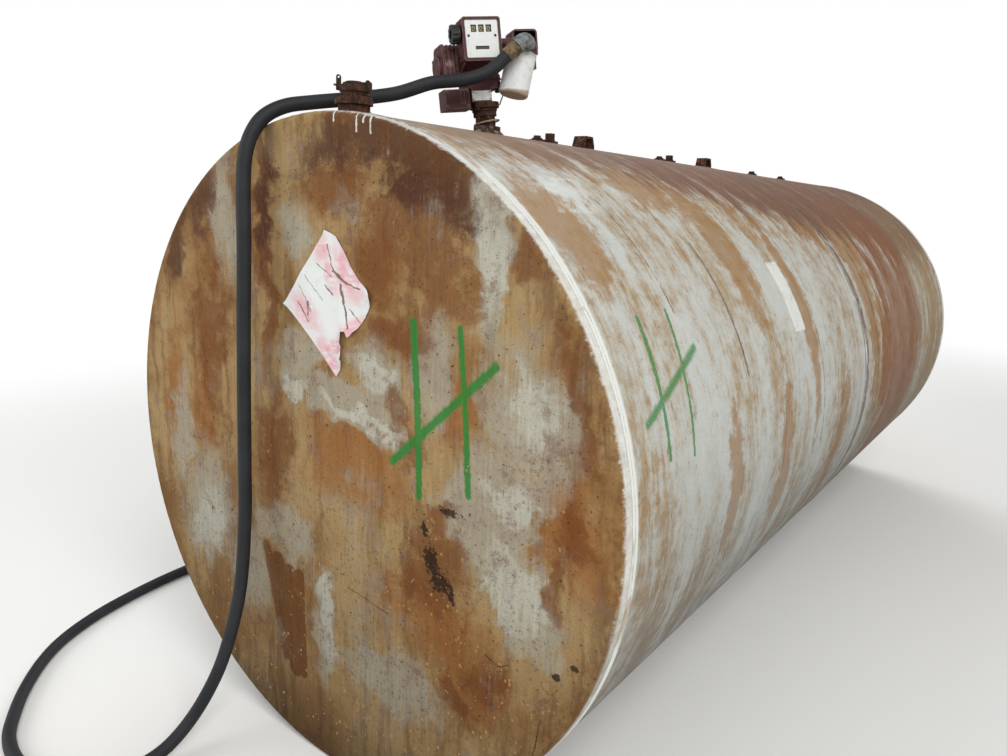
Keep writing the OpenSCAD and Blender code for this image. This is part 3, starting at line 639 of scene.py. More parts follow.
    scratches: tuple[Stroke, ...] = strokes(
        (0.57, 0.575, 0.61, 0.56, 0.003), (0.61, 0.56, 0.64, 0.575, 0.003),
        (0.735, 0.48, 0.7, 0.24, 0.003), (0.09, 0.585, 0.25, 0.56, 0.002),
    )

    def material(self, name: str) -> Material:
        """Builds the finish.

        Args:
            name: name of the material.

        Returns:
            The material.
        """
        g = Graph(name)
        x, y, z = g.parts(g.place())
        flat = g.vector(x, z)
        solid = g.vector(x, z, y)
        ragged = g.ragged(g.ragged(g.ragged(flat, 3.4, 0.12), 11.0, 0.060), 38.0, 0.022)
        frayed = g.ragged(flat, 70.0, 0.006)
        streak = g.noise(g.stretch(g.ragged(solid, 9.0, 0.03), (26.0, 2.0, 26.0)), 1.0, 5.0, 0.68)
        drip = g.noise(g.stretch(solid, (110.0, 6.0, 110.0)), 1.0, 3.0, 0.6)
        cloud = g.noise(solid, 3.2, 5.0, 0.6)
        mottle = g.noise(solid, 13.0, 6.0, 0.78)
        grain = g.noise(solid, 170.0, 3.0, 0.75)
        worn = mottle * 0.50 + streak * 0.30 + drip * 0.20
        scabs = mottle * 0.60 + grain * 0.25 + drip * 0.15

        colour = g.blend(cloud.fade(0.38, 0.62), Tone.HEAD_TAN, Tone.HEAD_OCHRE)
        colour = g.blend(streak.fade(0.46, 0.66) * 0.55, colour, Tone.HEAD_BROWN)
        masks: dict[Tone, Value] = {}
        for tone, spread, marks, wear, reach, soft, amount in (
            (Tone.HEAD_ORANGE, ragged, self.orange, worn, 2.8, 0.42, 0.62),
            (Tone.HEAD_GREY, ragged, self.grey, worn, 3.4, 0.42, 0.66),
            (Tone.HEAD_PALE, ragged, self.bright, worn, 3.4, 0.38, 0.64),
            (Tone.HEAD_DEEP, frayed, self.deep, scabs, 3.6, 0.30, 0.80),
            (Tone.HEAD_RUST, ragged, self.rust, scabs, 4.0, 0.40, 0.72),
            (Tone.HEAD_DARK, ragged, self.dark, scabs, 3.2, 0.42, 0.84),
        ):
            masks[tone] = gathered(g, spread, marks).eaten(wear, reach, soft)
            colour = g.blend(masks[tone] * amount, colour, tone)
        flaky = scabs * 0.7 + streak * 0.3
        colour = g.blend(flaky.fade(0.51, 0.61) * 0.62, colour, Tone.HEAD_RUST)
        colour = g.blend((worn * 0.6 + cloud * 0.4).fade(0.53, 0.62) * 0.34, colour, Tone.HEAD_GREY)

        lower = gathered(g, flat, self.blistered).most(z.fade(1.20, 0.95) * 0.4)
        specks = g.spots(g.stretch(frayed, (1.0, 0.75, 1.0)), 60.0, 0.30, 0.18)
        specks = specks * mottle.fade(0.44, 0.58) * 0.6
        specks = specks + g.spots(flat, 130.0, 0.36, 0.14) * streak.fade(0.44, 0.58) * 0.7
        colour = g.blend(specks * 0.70, colour, Tone.HEAD_DARK)
        distance, kept = g.cells(frayed, 72.0, 0.42)
        shown = kept * lower.eaten(mottle, 2.5, 0.2)
        # Painted blisters in the lower head: a dark ring round each is painted shadow, and a
        # lighter middle in the blister tone is a painted highlight.
        colour = g.blend(distance.between(0.24, 0.34, 0.05) * shown * 0.60, colour, Tone.HEAD_BROWN)
        colour = g.blend(distance.fade(0.24, 0.10) * shown * 0.45, colour, Tone.BLISTER_AND_HIGHLIGHT)
        black = gathered(g, frayed, self.black).eaten(g.noise(solid, 85.0, 4.0, 0.7), 3.4, 0.12)
        colour = g.blend(black * 0.88, colour, Tone.HEAD_BLACK)
        colour = g.blend(gathered(g, frayed, self.scratches) * 0.8, colour, Tone.HEAD_BLACK)

        edge = g.measured("DISTANCE", frayed, (0.0, AXIS_HEIGHT, 0.0))
        side = (x + (mottle - 0.5) * 0.5).fade(-0.20, 0.22)
        rim = (edge.fade(0.905, 0.917) * 0.70).eaten(scabs, 3.0, 0.30) * side * z.fade(0.45, 1.00)
        colour = g.blend(rim * 0.60, colour, Tone.RIM_WHITE)
        inside = edge.fade(0.82, 0.895) * (1.0 - rim)
        colour = g.blend(inside * worn.fade(0.40, 0.58) * 0.55, colour, Tone.HEAD_BROWN)
        flange = (y - FRONT).between(0.010, 0.034, 0.004)
        band = side * (scabs.fade(0.60, 0.44) * 0.75 + 0.20) * (z.fade(0.10, 0.75) * 0.75 + 0.25)
        colour = g.blend(flange * band, colour, Tone.RIM_WHITE)
        colour = g.blend(gathered(g, frayed, self.drips) * 0.85, colour, Tone.RIM_WHITE)
        spray = gathered(g, frayed, self.tally) * grain.fade(0.18, 0.42)
        colour = g.blend(spray * 0.92, colour, Tone.SPRAY_GREEN)
        # Painted shade: nearly black at the foot of the head by the ground, and darker towards the
        # bottom.
        colour = g.blend(z.fade(0.26, 0.02) * 0.45, colour, Tone.HEAD_BLACK)
        low_shade = z.fade(0.0, 1.10) * 0.36 + 0.64
        colour = g.shaded(colour, (grain * 0.80 + drip * 0.50 + 0.35) * low_shade)

        height = grain * 0.35 + mottle * 0.40
        roughness = 0.86 - masks[Tone.HEAD_GREY] * 0.14 + masks[Tone.HEAD_RUST] * 0.06
        return g.surface(colour, roughness, g.relief(height, 0.0016, 0.8), 0.15)


@dataclass(frozen=True)
class PlainHeadPaint:
    """The same primer and rust on the far head, whose marks are not known."""

    def material(self, name: str) -> Material:
        """Builds the finish.

        Args:
            name: name of the material.

        Returns:
            The material.
        """
        g = Graph(name)
        x, y, z = g.parts(g.place())
        flat = g.vector(x, z, y * 1.0 + 3.7)
        ragged = g.ragged(g.ragged(flat, 5.0, 0.06), 30.0, 0.016)
        streak = g.noise(g.stretch(ragged, (26.0, 2.0, 26.0)), 1.0, 5.0, 0.68)
        drip = g.noise(g.stretch(flat, (110.0, 6.0, 110.0)), 1.0, 3.0, 0.6)
        cloud = g.noise(ragged, 2.1, 6.0, 0.62)
        mottle = g.noise(flat, 13.0, 6.0, 0.78)
        grain = g.noise(flat, 170.0, 3.0, 0.75)
        worn = cloud * 0.40 + streak * 0.25 + mottle * 0.25 + drip * 0.10
        scabs = mottle * 0.60 + grain * 0.25 + drip * 0.15
        colour = g.blend(cloud.fade(0.38, 0.62), Tone.HEAD_TAN, Tone.HEAD_OCHRE)
        colour = g.blend(streak.fade(0.46, 0.66) * 0.55, colour, Tone.HEAD_BROWN)
        colour = g.blend(worn.fade(0.49, 0.58) * 0.55, colour, Tone.HEAD_GREY)
        colour = g.blend(worn.fade(0.57, 0.66) * 0.60, colour, Tone.HEAD_PALE)
        colour = g.blend(worn.fade(0.46, 0.40) * 0.55, colour, Tone.HEAD_ORANGE)
        flaky = scabs * 0.7 + streak * 0.3
        colour = g.blend(flaky.fade(0.50, 0.60) * 0.65, colour, Tone.HEAD_RUST)
        top = (z + (streak - 0.5) * 0.8 + (mottle - 0.5) * 0.5).fade(1.45, 1.85)
        colour = g.blend(top * 0.75, colour, Tone.HEAD_DARK)
        specks = g.spots(ragged, 60.0, 0.30, 0.18) * mottle.fade(0.44, 0.58)
        colour = g.blend(specks * 0.7, colour, Tone.HEAD_BLACK)
        # Painted shade: nearly black at the foot of the head by the ground, and darker towards the
        # bottom through the height factor below.
        colour = g.blend(z.fade(0.26, 0.02) * 0.45, colour, Tone.HEAD_BLACK)
        grain_level = grain * 0.80 + drip * 0.50 + 0.35
        colour = g.shaded(colour, grain_level * (z.fade(0.0, 1.10) * 0.36 + 0.64))
        height = grain * 0.4 + mottle * 0.4
        return g.surface(colour, 0.86, g.relief(height, 0.0016, 0.8), 0.15)


@dataclass(frozen=True)
class ShellPaint:
    """Chalky white paint over rust, with a brown crown, on the rolled courses.

    The surface is unrolled: the first number is the distance from the front head and the
    second the distance round the shell from the crown.
    """

    rust: tuple[Patch, ...] = patches(
        (0.14, 0.82, 0.03, 0.035, 0, 0.8), (0.16, 0.7, 0.11, 0.18, 0, 0.9),
        (1.375, 1.02, 0.055, 0.42, 0, 0.9), (1.36, 1.17, 0.022, 0.09, 0, 0.6),
        (0.95, 0.75, 0.09, 0.3, 0, 0.9), (0.62, 1.45, 0.05, 0.24, 0, 0.9),
        (1.05, 1.5, 0.06, 0.3, 0, 0.9), (2.26, 0.95, 0.09, 0.6, 0, 0.9),
        (2.42, 0.7, 0.12, 0.3, 0, 0.9), (2.44, 1.35, 0.08, 0.35, 0, 0.9),
        (1.95, 0.62, 0.14, 0.2, 0, 0.9), (0.75, 0.52, 0.2, 0.12, 0, 0.9),
        (1.75, 1.6, 0.07, 0.3, 0, 0.9),
    )
    bright: tuple[Patch, ...] = patches(
        (0.52, 0.92, 0.16, 0.33, 0, 0.8), (0.3, 0.52, 0.2, 0.1, 20, 0.6),
        (1.7, 0.95, 0.3, 0.35, 0, 0.8), (1.15, 0.95, 0.11, 0.26, 0, 0.8),
        (0.42, 1.35, 0.3, 0.3, 0, 0.9), (2.15, 1.05, 0.04, 0.4, 0, 0.8),
    )
    lines: tuple[Stroke, ...] = strokes(
        (0.735, 0.76, 0.752, 1.16, 0.01, 0.9), (2.103, 0.25, 2.106, 1.8, 0.03, 0.7),
        (2.064, 0.15, 2.064, 2.0, 0.012, 0.8), (2.29, 0.8, 2.31, 1.35, 0.012, 0.9),
        (0.405, 0.6, 0.42, 0.95, 0.005, 0.9), (1.44, 0.55, 1.452, 1.5, 0.006, 0.9),
        (1.02, 1.05, 1.03, 1.6, 0.005, 0.9), (0.046, 0.1, 0.046, 2.5, 0.004, 0.9),
        (0.018, 0.1, 0.018, 2.5, 0.003, 0.9),
    )
    tally: tuple[Stroke, ...] = strokes(
        (0.233, 0.946, 0.226, 1.11, 0.016), (0.226, 1.11, 0.222, 1.268, 0.014),
        (0.381, 0.94, 0.362, 1.11, 0.011), (0.362, 1.11, 0.348, 1.287, 0.011),
        (0.14, 1.175, 0.455, 1.045, 0.02, 0.7),
    )

    def _unrolled(self, g: Graph) -> tuple[Socket, Value, Value, Value]:
        """The place on the unrolled shell.

        Args:
            g: the material's graph.

        Returns:
            The place, the distance along the tank, the distance round it without its sign,
            and the same with its sign.
        """
        x, y, z = g.parts(g.place())
        along = y - FRONT
        signed = x.angle_from(z - AXIS_HEIGHT) * TANK_RADIUS
        round_it = abs(signed)
        return g.vector(along, round_it, signed.fade(-0.01, 0.01) * 5.0), along, round_it, signed

    def material(self, name: str) -> Material:
        """Builds the finish.

        Args:
            name: name of the material.

        Returns:
            The material.
        """
        g = Graph(name)
        place, along, round_it, signed = self._unrolled(g)
        seen = signed.fade(-0.02, 0.02)
        flat = g.vector(along, round_it)
        loose = g.ragged(g.ragged(place, 5.0, 0.06), 26.0, 0.018)
        long_streak = g.noise(g.stretch(loose, (9.0, 1.5, 1.0)), 1.0, 6.0, 0.66)
        shaken = g.ragged(place, 30.0, 0.008)
        thin_streak = g.noise(g.stretch(shaken, (62.0, 7.0, 1.0)), 1.0, 4.0, 0.66)
        mottle = g.noise(place, 17.0, 6.0, 0.74)
        grain = g.noise(place, 190.0, 3.0, 0.75)
        wide = g.noise(g.stretch(place, (1.9, 0.9, 1.0)), 1.0, 3.0)
        scabs = mottle * 0.55 + grain * 0.25 + thin_streak * 0.20
        worn = long_streak * 0.38 + thin_streak * 0.32 + mottle * 0.30
        dusky = long_streak * 0.35 + thin_streak * 0.40 + mottle * 0.25

        aged = (along * 0.03 + wide - 0.5) * 0.5
        colour = g.blend((worn + aged).fade(0.43, 0.62), Tone.SHELL_WHITE, Tone.SHELL_TAN)
        wavy = g.ragged(flat, 8.0, 0.05)
        bright = gathered(g, wavy, self.bright) * seen
        colour = g.blend((bright * 0.8).eaten(worn, -2.4, 0.3) * 0.60, colour, Tone.SHELL_WHITE)
        rust = gathered(g, g.ragged(wavy, 40.0, 0.012), self.rust) * seen
        colour = g.blend(rust.eaten(scabs, 3.0, 0.25) * 0.72, colour, Tone.SHELL_OCHRE)
        flaky = scabs * 0.6 + worn * 0.4 + aged
        colour = g.blend(flaky.fade(0.54, 0.66) * 0.55, colour, Tone.SHELL_OCHRE)
        low = round_it.fade(1.25, 2.00)
        colour = g.blend(low * worn.fade(0.34, 0.52) * 0.75, colour, Tone.SHELL_GREY)
        colour = g.blend(low * dusky.fade(0.44, 0.60) * 0.55, colour, Tone.HEAD_BROWN)

        edge = (along * 0.178 + 0.34).least(0.90)
        depth = (edge - round_it) + (long_streak - 0.5) * 0.55 + (thin_streak - 0.5) * 0.22
        crown = depth.fade(-0.08, 0.08)
        fresh = (along + (long_streak - 0.5) * 0.9).fade(-0.15, 0.80)
        brown = g.blend(dusky.fade(0.40, 0.60) * 0.8, Tone.SHELL_CROWN, Tone.SHELL_CROWN_DARK)
        brown = g.blend((1.0 - fresh * 0.85) * worn.fade(0.36, 0.56), brown, Tone.SHELL_OCHRE)
        fringe = depth.between(-0.10, 0.14, 0.08)
        colour = g.blend(fringe * scabs.fade(0.42, 0.58) * 0.70, colour, Tone.SHELL_OCHRE)
        cover = worn.fade(0.38, 0.50) * 0.24 + 0.76
        colour = g.blend(crown * cover * (0.50 + 0.50 * fresh), colour, brown)
        reach = along + (long_streak - 0.5) * 0.70 + (thin_streak - 0.5) * 0.30
        reach = reach + (wide - 0.5) * 0.60
        wander = round_it + (long_streak - 0.5) * 1.2 + (thin_streak - 0.5) * 0.8
        band = reach.between(2.48, 3.30, 0.10) * wander.between(0.55, 1.95, 0.50)
        colour = g.blend(band.eaten(worn, 2.6, 0.40) * 0.80, colour, Tone.SHELL_BAND)
        colour = g.blend(band * dusky.fade(0.48, 0.62) * 0.5, colour, Tone.HEAD_RUST)
        tail = along.fade(3.20, 3.50) * round_it.fade(0.3, 0.6)
        colour = g.blend(tail * worn.fade(0.42, 0.58) * 0.7, colour, Tone.SHELL_TAN)

        frayed = g.ragged(flat, 60.0, 0.005)
        label = self._box(g, frayed, (1.222, 0.845), (1.325, 1.092), 0.05) * seen
        colour = g.blend(label * scabs.fade(0.66, 0.52) * 0.9, colour, Tone.RIM_WHITE)
        ghost = self._box(g, frayed, (0.215, 0.515), (0.395, 0.655), -0.45) * seen
        colour = g.blend(ghost * scabs.fade(0.60, 0.42) * 0.55, colour, Tone.RIM_WHITE)
        lines = gathered(g, frayed, self.lines) * mottle.fade(0.32, 0.54)
        colour = g.blend(lines * 0.80, colour, Tone.SHELL_CROWN_DARK)
        specks = g.spots(frayed, 75.0, 0.28, 0.14) * mottle.fade(0.46, 0.60)
        flecks = g.spots(g.stretch(flat, (1.0, 0.35, 1.0)), 110.0, 0.34, 0.14)
        flecks = flecks * thin_streak.fade(0.46, 0.60)
        colour = g.blend(specks.most(flecks) * 0.60, colour, Tone.HEAD_DARK)
        rim = along.fade(0.066, 0.056).most(along.fade(4.105, 4.115))
        rim = rim * (scabs.fade(0.62, 0.46) * 0.8 + 0.2) * round_it.between(0.36, 2.10, 0.30)
        colour = g.blend(rim * 0.90, colour, Tone.RIM_WHITE)
        spray = gathered(g, frayed, self.tally) * seen * grain.fade(0.25, 0.48)
        colour = g.blend(spray * 0.85, colour, Tone.SPRAY_GREEN)
        # Painted shade: nearly black on the underside by the ground, and darker towards the bottom.
        colour = g.blend(round_it.fade(2.30, 2.80) * 0.5, colour, Tone.HEAD_BLACK)
        low_shade = round_it.fade(2.20, 0.95) * 0.42 + 0.58
        colour = g.shaded(colour, (grain * 0.60 + thin_streak * 0.50 + 0.45) * low_shade)

        height = grain * 0.4 + mottle * 0.4
        return g.surface(colour, 0.74 + crown * 0.10, g.relief(height, 0.0012, 0.7), 0.25)

    def _box(self, g: Graph, place: Socket, low: Spot, high: Spot, slant: float) -> Value:
        """A box on the unrolled shell.

        Args:
            g: the material's graph.
            place: the place on the unrolled shell.
            low: its corner with the lowest numbers.
            high: its opposite corner.
            slant: how far it slides along the tank for each metre round it.

        Returns:
            A mask that is 1 inside the box.
        """
        along, round_it, _ = g.parts(place)
        slid = along - (round_it - (low[1] + high[1]) / 2) * slant
        return slid.between(low[0], high[0], 0.004) * round_it.between(low[1], high[1], 0.004)


@dataclass(frozen=True)
class SeamPaint:
    """White paint on a welded bead, with rust in its ripples."""

    pitch: float = 0.006
    rusty: float = 0.35

    def material(self, name: str) -> Material:
        """Builds the finish.

        Args:
            name: name of the material.

        Returns:
            The material.
        """
        g = Graph(name)
        x, y, z = g.parts(g.place())
        round_it = x.angle_from(z - AXIS_HEIGHT) * TANK_RADIUS
        place = g.vector(y, round_it, 1.3)
        mottle = g.noise(place, 30.0, 5.0, 0.7)
        patchy = g.noise(g.stretch(place, (1.0, 0.25, 1.0)), 14.0, 4.0, 0.65)
        rust = patchy.fade(0.62 - self.rusty * 0.3, 0.74 - self.rusty * 0.3)
        crown = abs(round_it).fade(0.42, 0.28)
        stain = Tone.SHELL_CROWN_DARK if self.rusty > 0.8 else Tone.SHELL_TAN
        colour = g.blend(rust * 0.85, Tone.RIM_WHITE, stain)
        colour = g.blend(crown * mottle.fade(0.30, 0.55) * 0.9, colour, Tone.SHELL_CROWN)
        colour = g.blend(mottle.fade(0.60, 0.70) * 0.6, colour, Tone.HEAD_BROWN)
        colour = g.blend(abs(round_it).fade(1.75, 2.30) * 0.6, colour, Tone.HEAD_TAN)
        uneven = g.ragged(place, 60.0, 0.002)
        ripple = g.node(
            "ShaderNodeTexWave",
            {"wave_type": "BANDS", "bands_direction": "Y"},
            {"Vector": uneven, "Scale": WAVE_UNIT / self.pitch, "Distortion": 1.0},
        )
        height = Value(g, ripple.outputs["Fac"]) * 0.6 + mottle * 0.4
        return g.surface(colour, 0.7, g.relief(height, 0.0006, 0.8), 0.4)


@dataclass(frozen=True)
class RustySteel:
    """Bare steel that has rusted dark, with some orange."""

    orange: float = 0.35
    scale: float = 45.0
    paint_left: float = 0.0

    def material(self, name: str) -> Material:
        """Builds the finish.

        Args:
            name: name of the material.

        Returns:
            The material.
        """
        g = Graph(name)
        place = g.place()
        coarse = g.noise(place, self.scale, 5.0, 0.65)
        fine = g.noise(place, self.scale * 6, 4.0, 0.7)
        colour = g.blend(coarse.fade(0.36, 0.64), Tone.STEEL_DARK, Tone.STEEL_RUST)
        share = 0.70 - 0.3 * self.orange
        bloom = g.noise(place, self.scale * 1.7, 4.0).fade(share, share + 0.10)
        colour = g.blend(bloom * 0.8, colour, Tone.STEEL_ORANGE)
        if self.paint_left:
            patch = g.noise(place, self.scale * 0.6, 4.0, 0.6)
            patch = patch.fade(0.60 - 0.2 * self.paint_left, 0.64)
            colour = g.blend(patch * 0.7, colour, Tone.SHELL_GREY)
        colour = g.shaded(colour, fine * 0.7 + 0.65)
        return g.surface(colour, 0.88, g.relief(fine * 0.5 + coarse * 0.5, 0.0012), 0.3)


@dataclass(frozen=True)
class MaroonEnamel:
    """Sun-faded maroon enamel, pale along its edges from wear and from a painted highlight."""

    fade: float = 0.4
    rust_spot: Point | None = None
    bare_spot: Point | None = None
    shaded_hollow: tuple[Matrix, Point] | None = None

    def _near(self, g: Graph, place: Socket, spot: Point, reach: float) -> Value:
        """A soft ball round a spot."""
        return g.measured("DISTANCE", place, spot).fade(reach * 1.25, reach * 0.6)

    def material(self, name: str) -> Material:
        """Builds the finish.

        Args:
            name: name of the material.

        Returns:
            The material.
        """
        g = Graph(name)
        place = g.place()
        cloud = g.noise(place, 28.0, 5.0, 0.6)
        fine = g.noise(place, 260.0, 3.0, 0.65)
        colour = g.blend(cloud.fade(0.45, 0.75) * self.fade, Tone.MAROON_DEEP, Tone.MAROON_WORN)
        # Pale edges: partly worn paint, partly a painted highlight where the edges catch the light.
        wear = g.edge_mask(0.0035) * g.noise(place, 120.0, 4.0, 0.7).fade(0.34, 0.52)
        colour = g.blend(wear * 0.72, colour, Tone.MAROON_EDGE)
        rough_place = g.ragged(place, 60.0, 0.008)
        if self.rust_spot:
            spot = self._near(g, rough_place, self.rust_spot, 0.013)
            colour = g.blend(spot * 0.85, colour, Tone.STEEL_ORANGE)
        if self.bare_spot:
            spot = self._near(g, rough_place, self.bare_spot, 0.014)
            colour = g.blend(spot * cloud.fade(0.36, 0.50) * 0.8, colour, Tone.MAROON_EDGE)
        colour = g.blend(g.spots(place, 260.0, 0.34, 0.08) * 0.6, colour, Tone.STEEL_RUST)
        # Painted shade: the inside of the open box is painted black.
        if self.shaded_hollow:
            colour = g.blend(self._inside(g, place, *self.shaded_hollow) * 0.9, colour, Tone.PLASTIC)
        colour = g.shaded(colour, fine * 0.4 + 0.8)
        return g.surface(colour, 0.50 + 0.25 * cloud, g.relief(fine, 0.0004, 0.6))

    def _inside(self, g: Graph, place: Socket, middle: Matrix, half: Point) -> Value:
        """A box that may be turned.

        Args:
            g: the material's graph.
            place: the place on the surface.
            middle: the box's frame.
            half: half of its three lengths.

        Returns:
            A mask that is 1 inside the box.
        """
        turned = g.seen_from(place, tuple(middle.translation), tuple(middle.to_euler()))
        axes = zip(g.parts(turned), half)
        x, y, z = (abs(axis).fade(reach, reach - 0.0004) for axis, reach in axes)
        return x * y * z


@dataclass(frozen=True)
class WhiteEnamel:
    """White enamel with dirt along its edges."""

    dirt: float = 0.35
    rust_below: float | None = None

    def material(self, name: str) -> Material:
        """Builds the finish.

        Args:
            name: name of the material.

        Returns:
            The material.
        """
        g = Graph(name)
        place = g.place()
        cloud = g.noise(place, 60.0, 5.0, 0.6)
        colour = g.blend(cloud.fade(0.50, 0.78) * self.dirt, Tone.PLATE_WHITE, Tone.PLATE_DIRT)
        colour = g.blend(g.edge_mask(0.002) * cloud.fade(0.35, 0.55) * 0.6, colour, Tone.PLATE_DIRT)
        specks = g.spots(place, 420.0, 0.35, 0.05 + 0.1 * self.dirt)
        colour = g.blend(specks * 0.6, colour, Tone.STEEL_RUST)
        if self.rust_below is not None:
            height = g.parts(place)[2] + (cloud - 0.5) * 0.012
            low = height.fade(self.rust_below + 0.004, self.rust_below - 0.004)
            colour = g.blend(low * 0.75, colour, Tone.SHELL_OCHRE)
        return g.surface(colour, 0.38 + 0.2 * cloud, g.relief(cloud, 0.0002, 0.4))


@dataclass(frozen=True)
class CastMetal:
    """Dull cast metal such as the elbow's or the coupling's."""

    bright: Tone = Tone.ALUMINIUM
    dull: Tone = Tone.ALUMINIUM_DULL
    metallic: float = 0.45
    roughness: float = 0.55

    def material(self, name: str) -> Material:
        """Builds the finish.

        Args:
            name: name of the material.

        Returns:
            The material.
        """
        g = Graph(name)
        place = g.place()
        cloud = g.noise(place, 55.0, 5.0, 0.65)
        fine = g.noise(place, 420.0, 3.0, 0.7)
        colour = g.blend(cloud.fade(0.38, 0.66), self.bright, self.dull)
        colour = g.shaded(colour, fine * 0.4 + 0.8)
        roughness = cloud * 0.2 + self.roughness
        bumps = g.relief(fine, 0.0004, 0.7)
        return g.surface(colour, roughness, bumps, metallic=self.metallic)


@dataclass(frozen=True)
class DustyBlack:
    """Black rubber or plastic with dust on it."""

    base: Tone = Tone.RUBBER
    dust: Tone = Tone.RUBBER_DUST
    roughness: float = 0.62
    amount: float = 0.6

    def material(self, name: str) -> Material:
        """Builds the finish.

        Args:
            name: name of the material.

        Returns:
            The material.
        """
        g = Graph(name)
        place = g.place()
        cloud = g.noise(place, 9.0, 5.0, 0.6)
        fine = g.noise(place, 240.0, 3.0, 0.7)
        dusty = (cloud * 0.7 + fine * 0.3).fade(0.38, 0.66)
        colour = g.blend(dusty * self.amount, self.base, self.dust)
        roughness = cloud * 0.25 + self.roughness - 0.1
        return g.surface(colour, roughness, g.relief(fine, 0.0002, 0.5), 0.35)


@dataclass(frozen=True)
class PlainFinish:
    """One colour with a little grain."""

    tone: Tone
    roughness: float = 0.6
    scale: float = 300.0

    def material(self, name: str) -> Material:
        """Builds the finish.

        Args:
            name: name of the material.

        Returns:
            The material.
        """
        g = Graph(name)
        grain = g.noise(g.place(), self.scale, 3.0, 0.6)
        colour = g.shaded(self.tone.linear()[:3], grain * 0.4 + 0.8)
        return g.surface(colour, self.roughness)


@dataclass(frozen=True)
class PlacardPaint:
    """Faded pink and white of the bare sticker, with cracks and dirt."""

    pink: tuple[Patch, ...] = patches(
        (0.105, 1.435, 0.042, 0.075, 32, 0.6), (0.045, 1.425, 0.02, 0.045, 20, 0.7),
        (0.03, 1.215, 0.06, 0.03, -48, 0.5), (0.068, 1.245, 0.03, 0.018, 0, 0.5),
        (-0.06, 1.325, 0.06, 0.03, -40, 0.9), (0.12, 1.3, 0.05, 0.018, 30, 0.8),
        (0.01, 1.49, 0.03, 0.03, 0, 0.9),
    )
    cracks: tuple[Stroke, ...] = strokes(
        (0.03, 1.505, 0.052, 1.44, 0.0035), (0.052, 1.44, 0.1, 1.412, 0.0075),
        (0.1, 1.412, 0.15, 1.4, 0.004), (-0.01, 1.455, 0.045, 1.425, 0.0025),
        (-0.06, 1.42, 0.01, 1.36, 0.002), (-0.085, 1.395, -0.035, 1.33, 0.0018),
        (0.078, 1.405, 0.092, 1.36, 0.0085), (0.092, 1.36, 0.108, 1.3, 0.006),
        (-0.09, 1.35, -0.048, 1.3, 0.0045), (-0.05, 1.352, -0.046, 1.318, 0.006),
        (0.11, 1.35, 0.15, 1.318, 0.0022), (0.02, 1.4, 0.05, 1.38, 0.004),
    )

    def material(self, name: str) -> Material:
        """Builds the finish.

        Args:
            name: name of the material.

        Returns:
            The material.
        """
        g = Graph(name)
        x, _, z = g.parts(g.place())
        flat = g.vector(x, z)
        ragged = g.ragged(flat, 40.0, 0.012)
        frayed = g.ragged(flat, 60.0, 0.006)
        cloud = g.noise(flat, 30.0, 5.0, 0.6)
        streak = g.noise(g.stretch(flat, (20.0, 90.0, 1.0)), 1.0, 4.0, 0.6)
        pink = gathered(g, ragged, self.pink) * (cloud * 0.6 + streak * 0.5).fade(0.35, 0.62)
        colour = g.blend(pink * 0.85, Tone.PLATE_WHITE, Tone.PLACARD_PINK)
        colour = g.blend(cloud.fade(0.56, 0.80) * 0.3, colour, Tone.PLATE_DIRT)
        colour = g.blend(gathered(g, frayed, self.cracks) * 0.9, colour, Tone.HEAD_BROWN)
        return g.surface(colour, 0.55, g.relief(streak, 0.0004, 0.5))


@dataclass(frozen=True)
class Place:
    """A local frame inside the tank's frame."""

    matrix: Matrix

    def at(self, x: float = 0.0, y: float = 0.0, z: float = 0.0) -> Matrix:
        """The frame moved to a point of its own."""
        return self.matrix @ Matrix.Translation((x, y, z))

    def on_circle(self, degrees: float, radius: float, z: float) -> Matrix:
        """The frame moved to a spot on a circle about its Z."""
        angle = math.radians(degrees)
        return self.at(radius * math.cos(angle), radius * math.sin(angle), z)

    def along(self, x: float, y: float, z: float, direction: Sequence[float]) -> Matrix:
        """The frame moved to a point, with its Z turned to a direction."""
        turn = Vector(direction).to_track_quat("Z", "Y").to_matrix().to_4x4()
        return self.at(x, y, z) @ turn


def crown_spot(from_head: float, lift: float = 0.0) -> Matrix:
    """A spot on the crown, so far behind the front head."""
    return Matrix.Translation((0.0, FRONT + from_head, CROWN + lift))


def pump_place() -> Place:
    """Works out the pump's frame.

    Returns:
        The frame, with X to the pump's right, -Y to its front and Z up the riser.
    """
    lean = Matrix.Rotation(math.radians(PUMP_LEAN), 4, Vector(PUMP_LEAN_AXIS))
    turn = Matrix.Rotation(math.radians(PUMP_TURN), 4, "Z")
    return Place(crown_spot(PUMP_FROM_HEAD) @ lean @ turn)


def fill_place() -> Place:
    """The fill fitting's frame, on the crown behind the front head."""
    turn = Matrix.Rotation(math.radians(FILL_TURN), 4, "Z")
    return Place(crown_spot(FILL_FROM_HEAD) @ turn)


def elbow_place() -> Place:
    """Works out the outlet elbow's frame.

    Returns:
        The frame, with Z back along the inlet and X along the outlet.
    """
    inlet = Vector(ELBOW_INLET).normalized()
    outlet = Vector(ELBOW_OUTLET)
    up = -inlet
    side = (outlet - outlet.dot(up) * up).normalized()
    turned = Matrix((side, up.cross(side), up)).transposed().to_4x4()
    return Place(pump_place().at(*ELBOW_MIDDLE) @ turned)


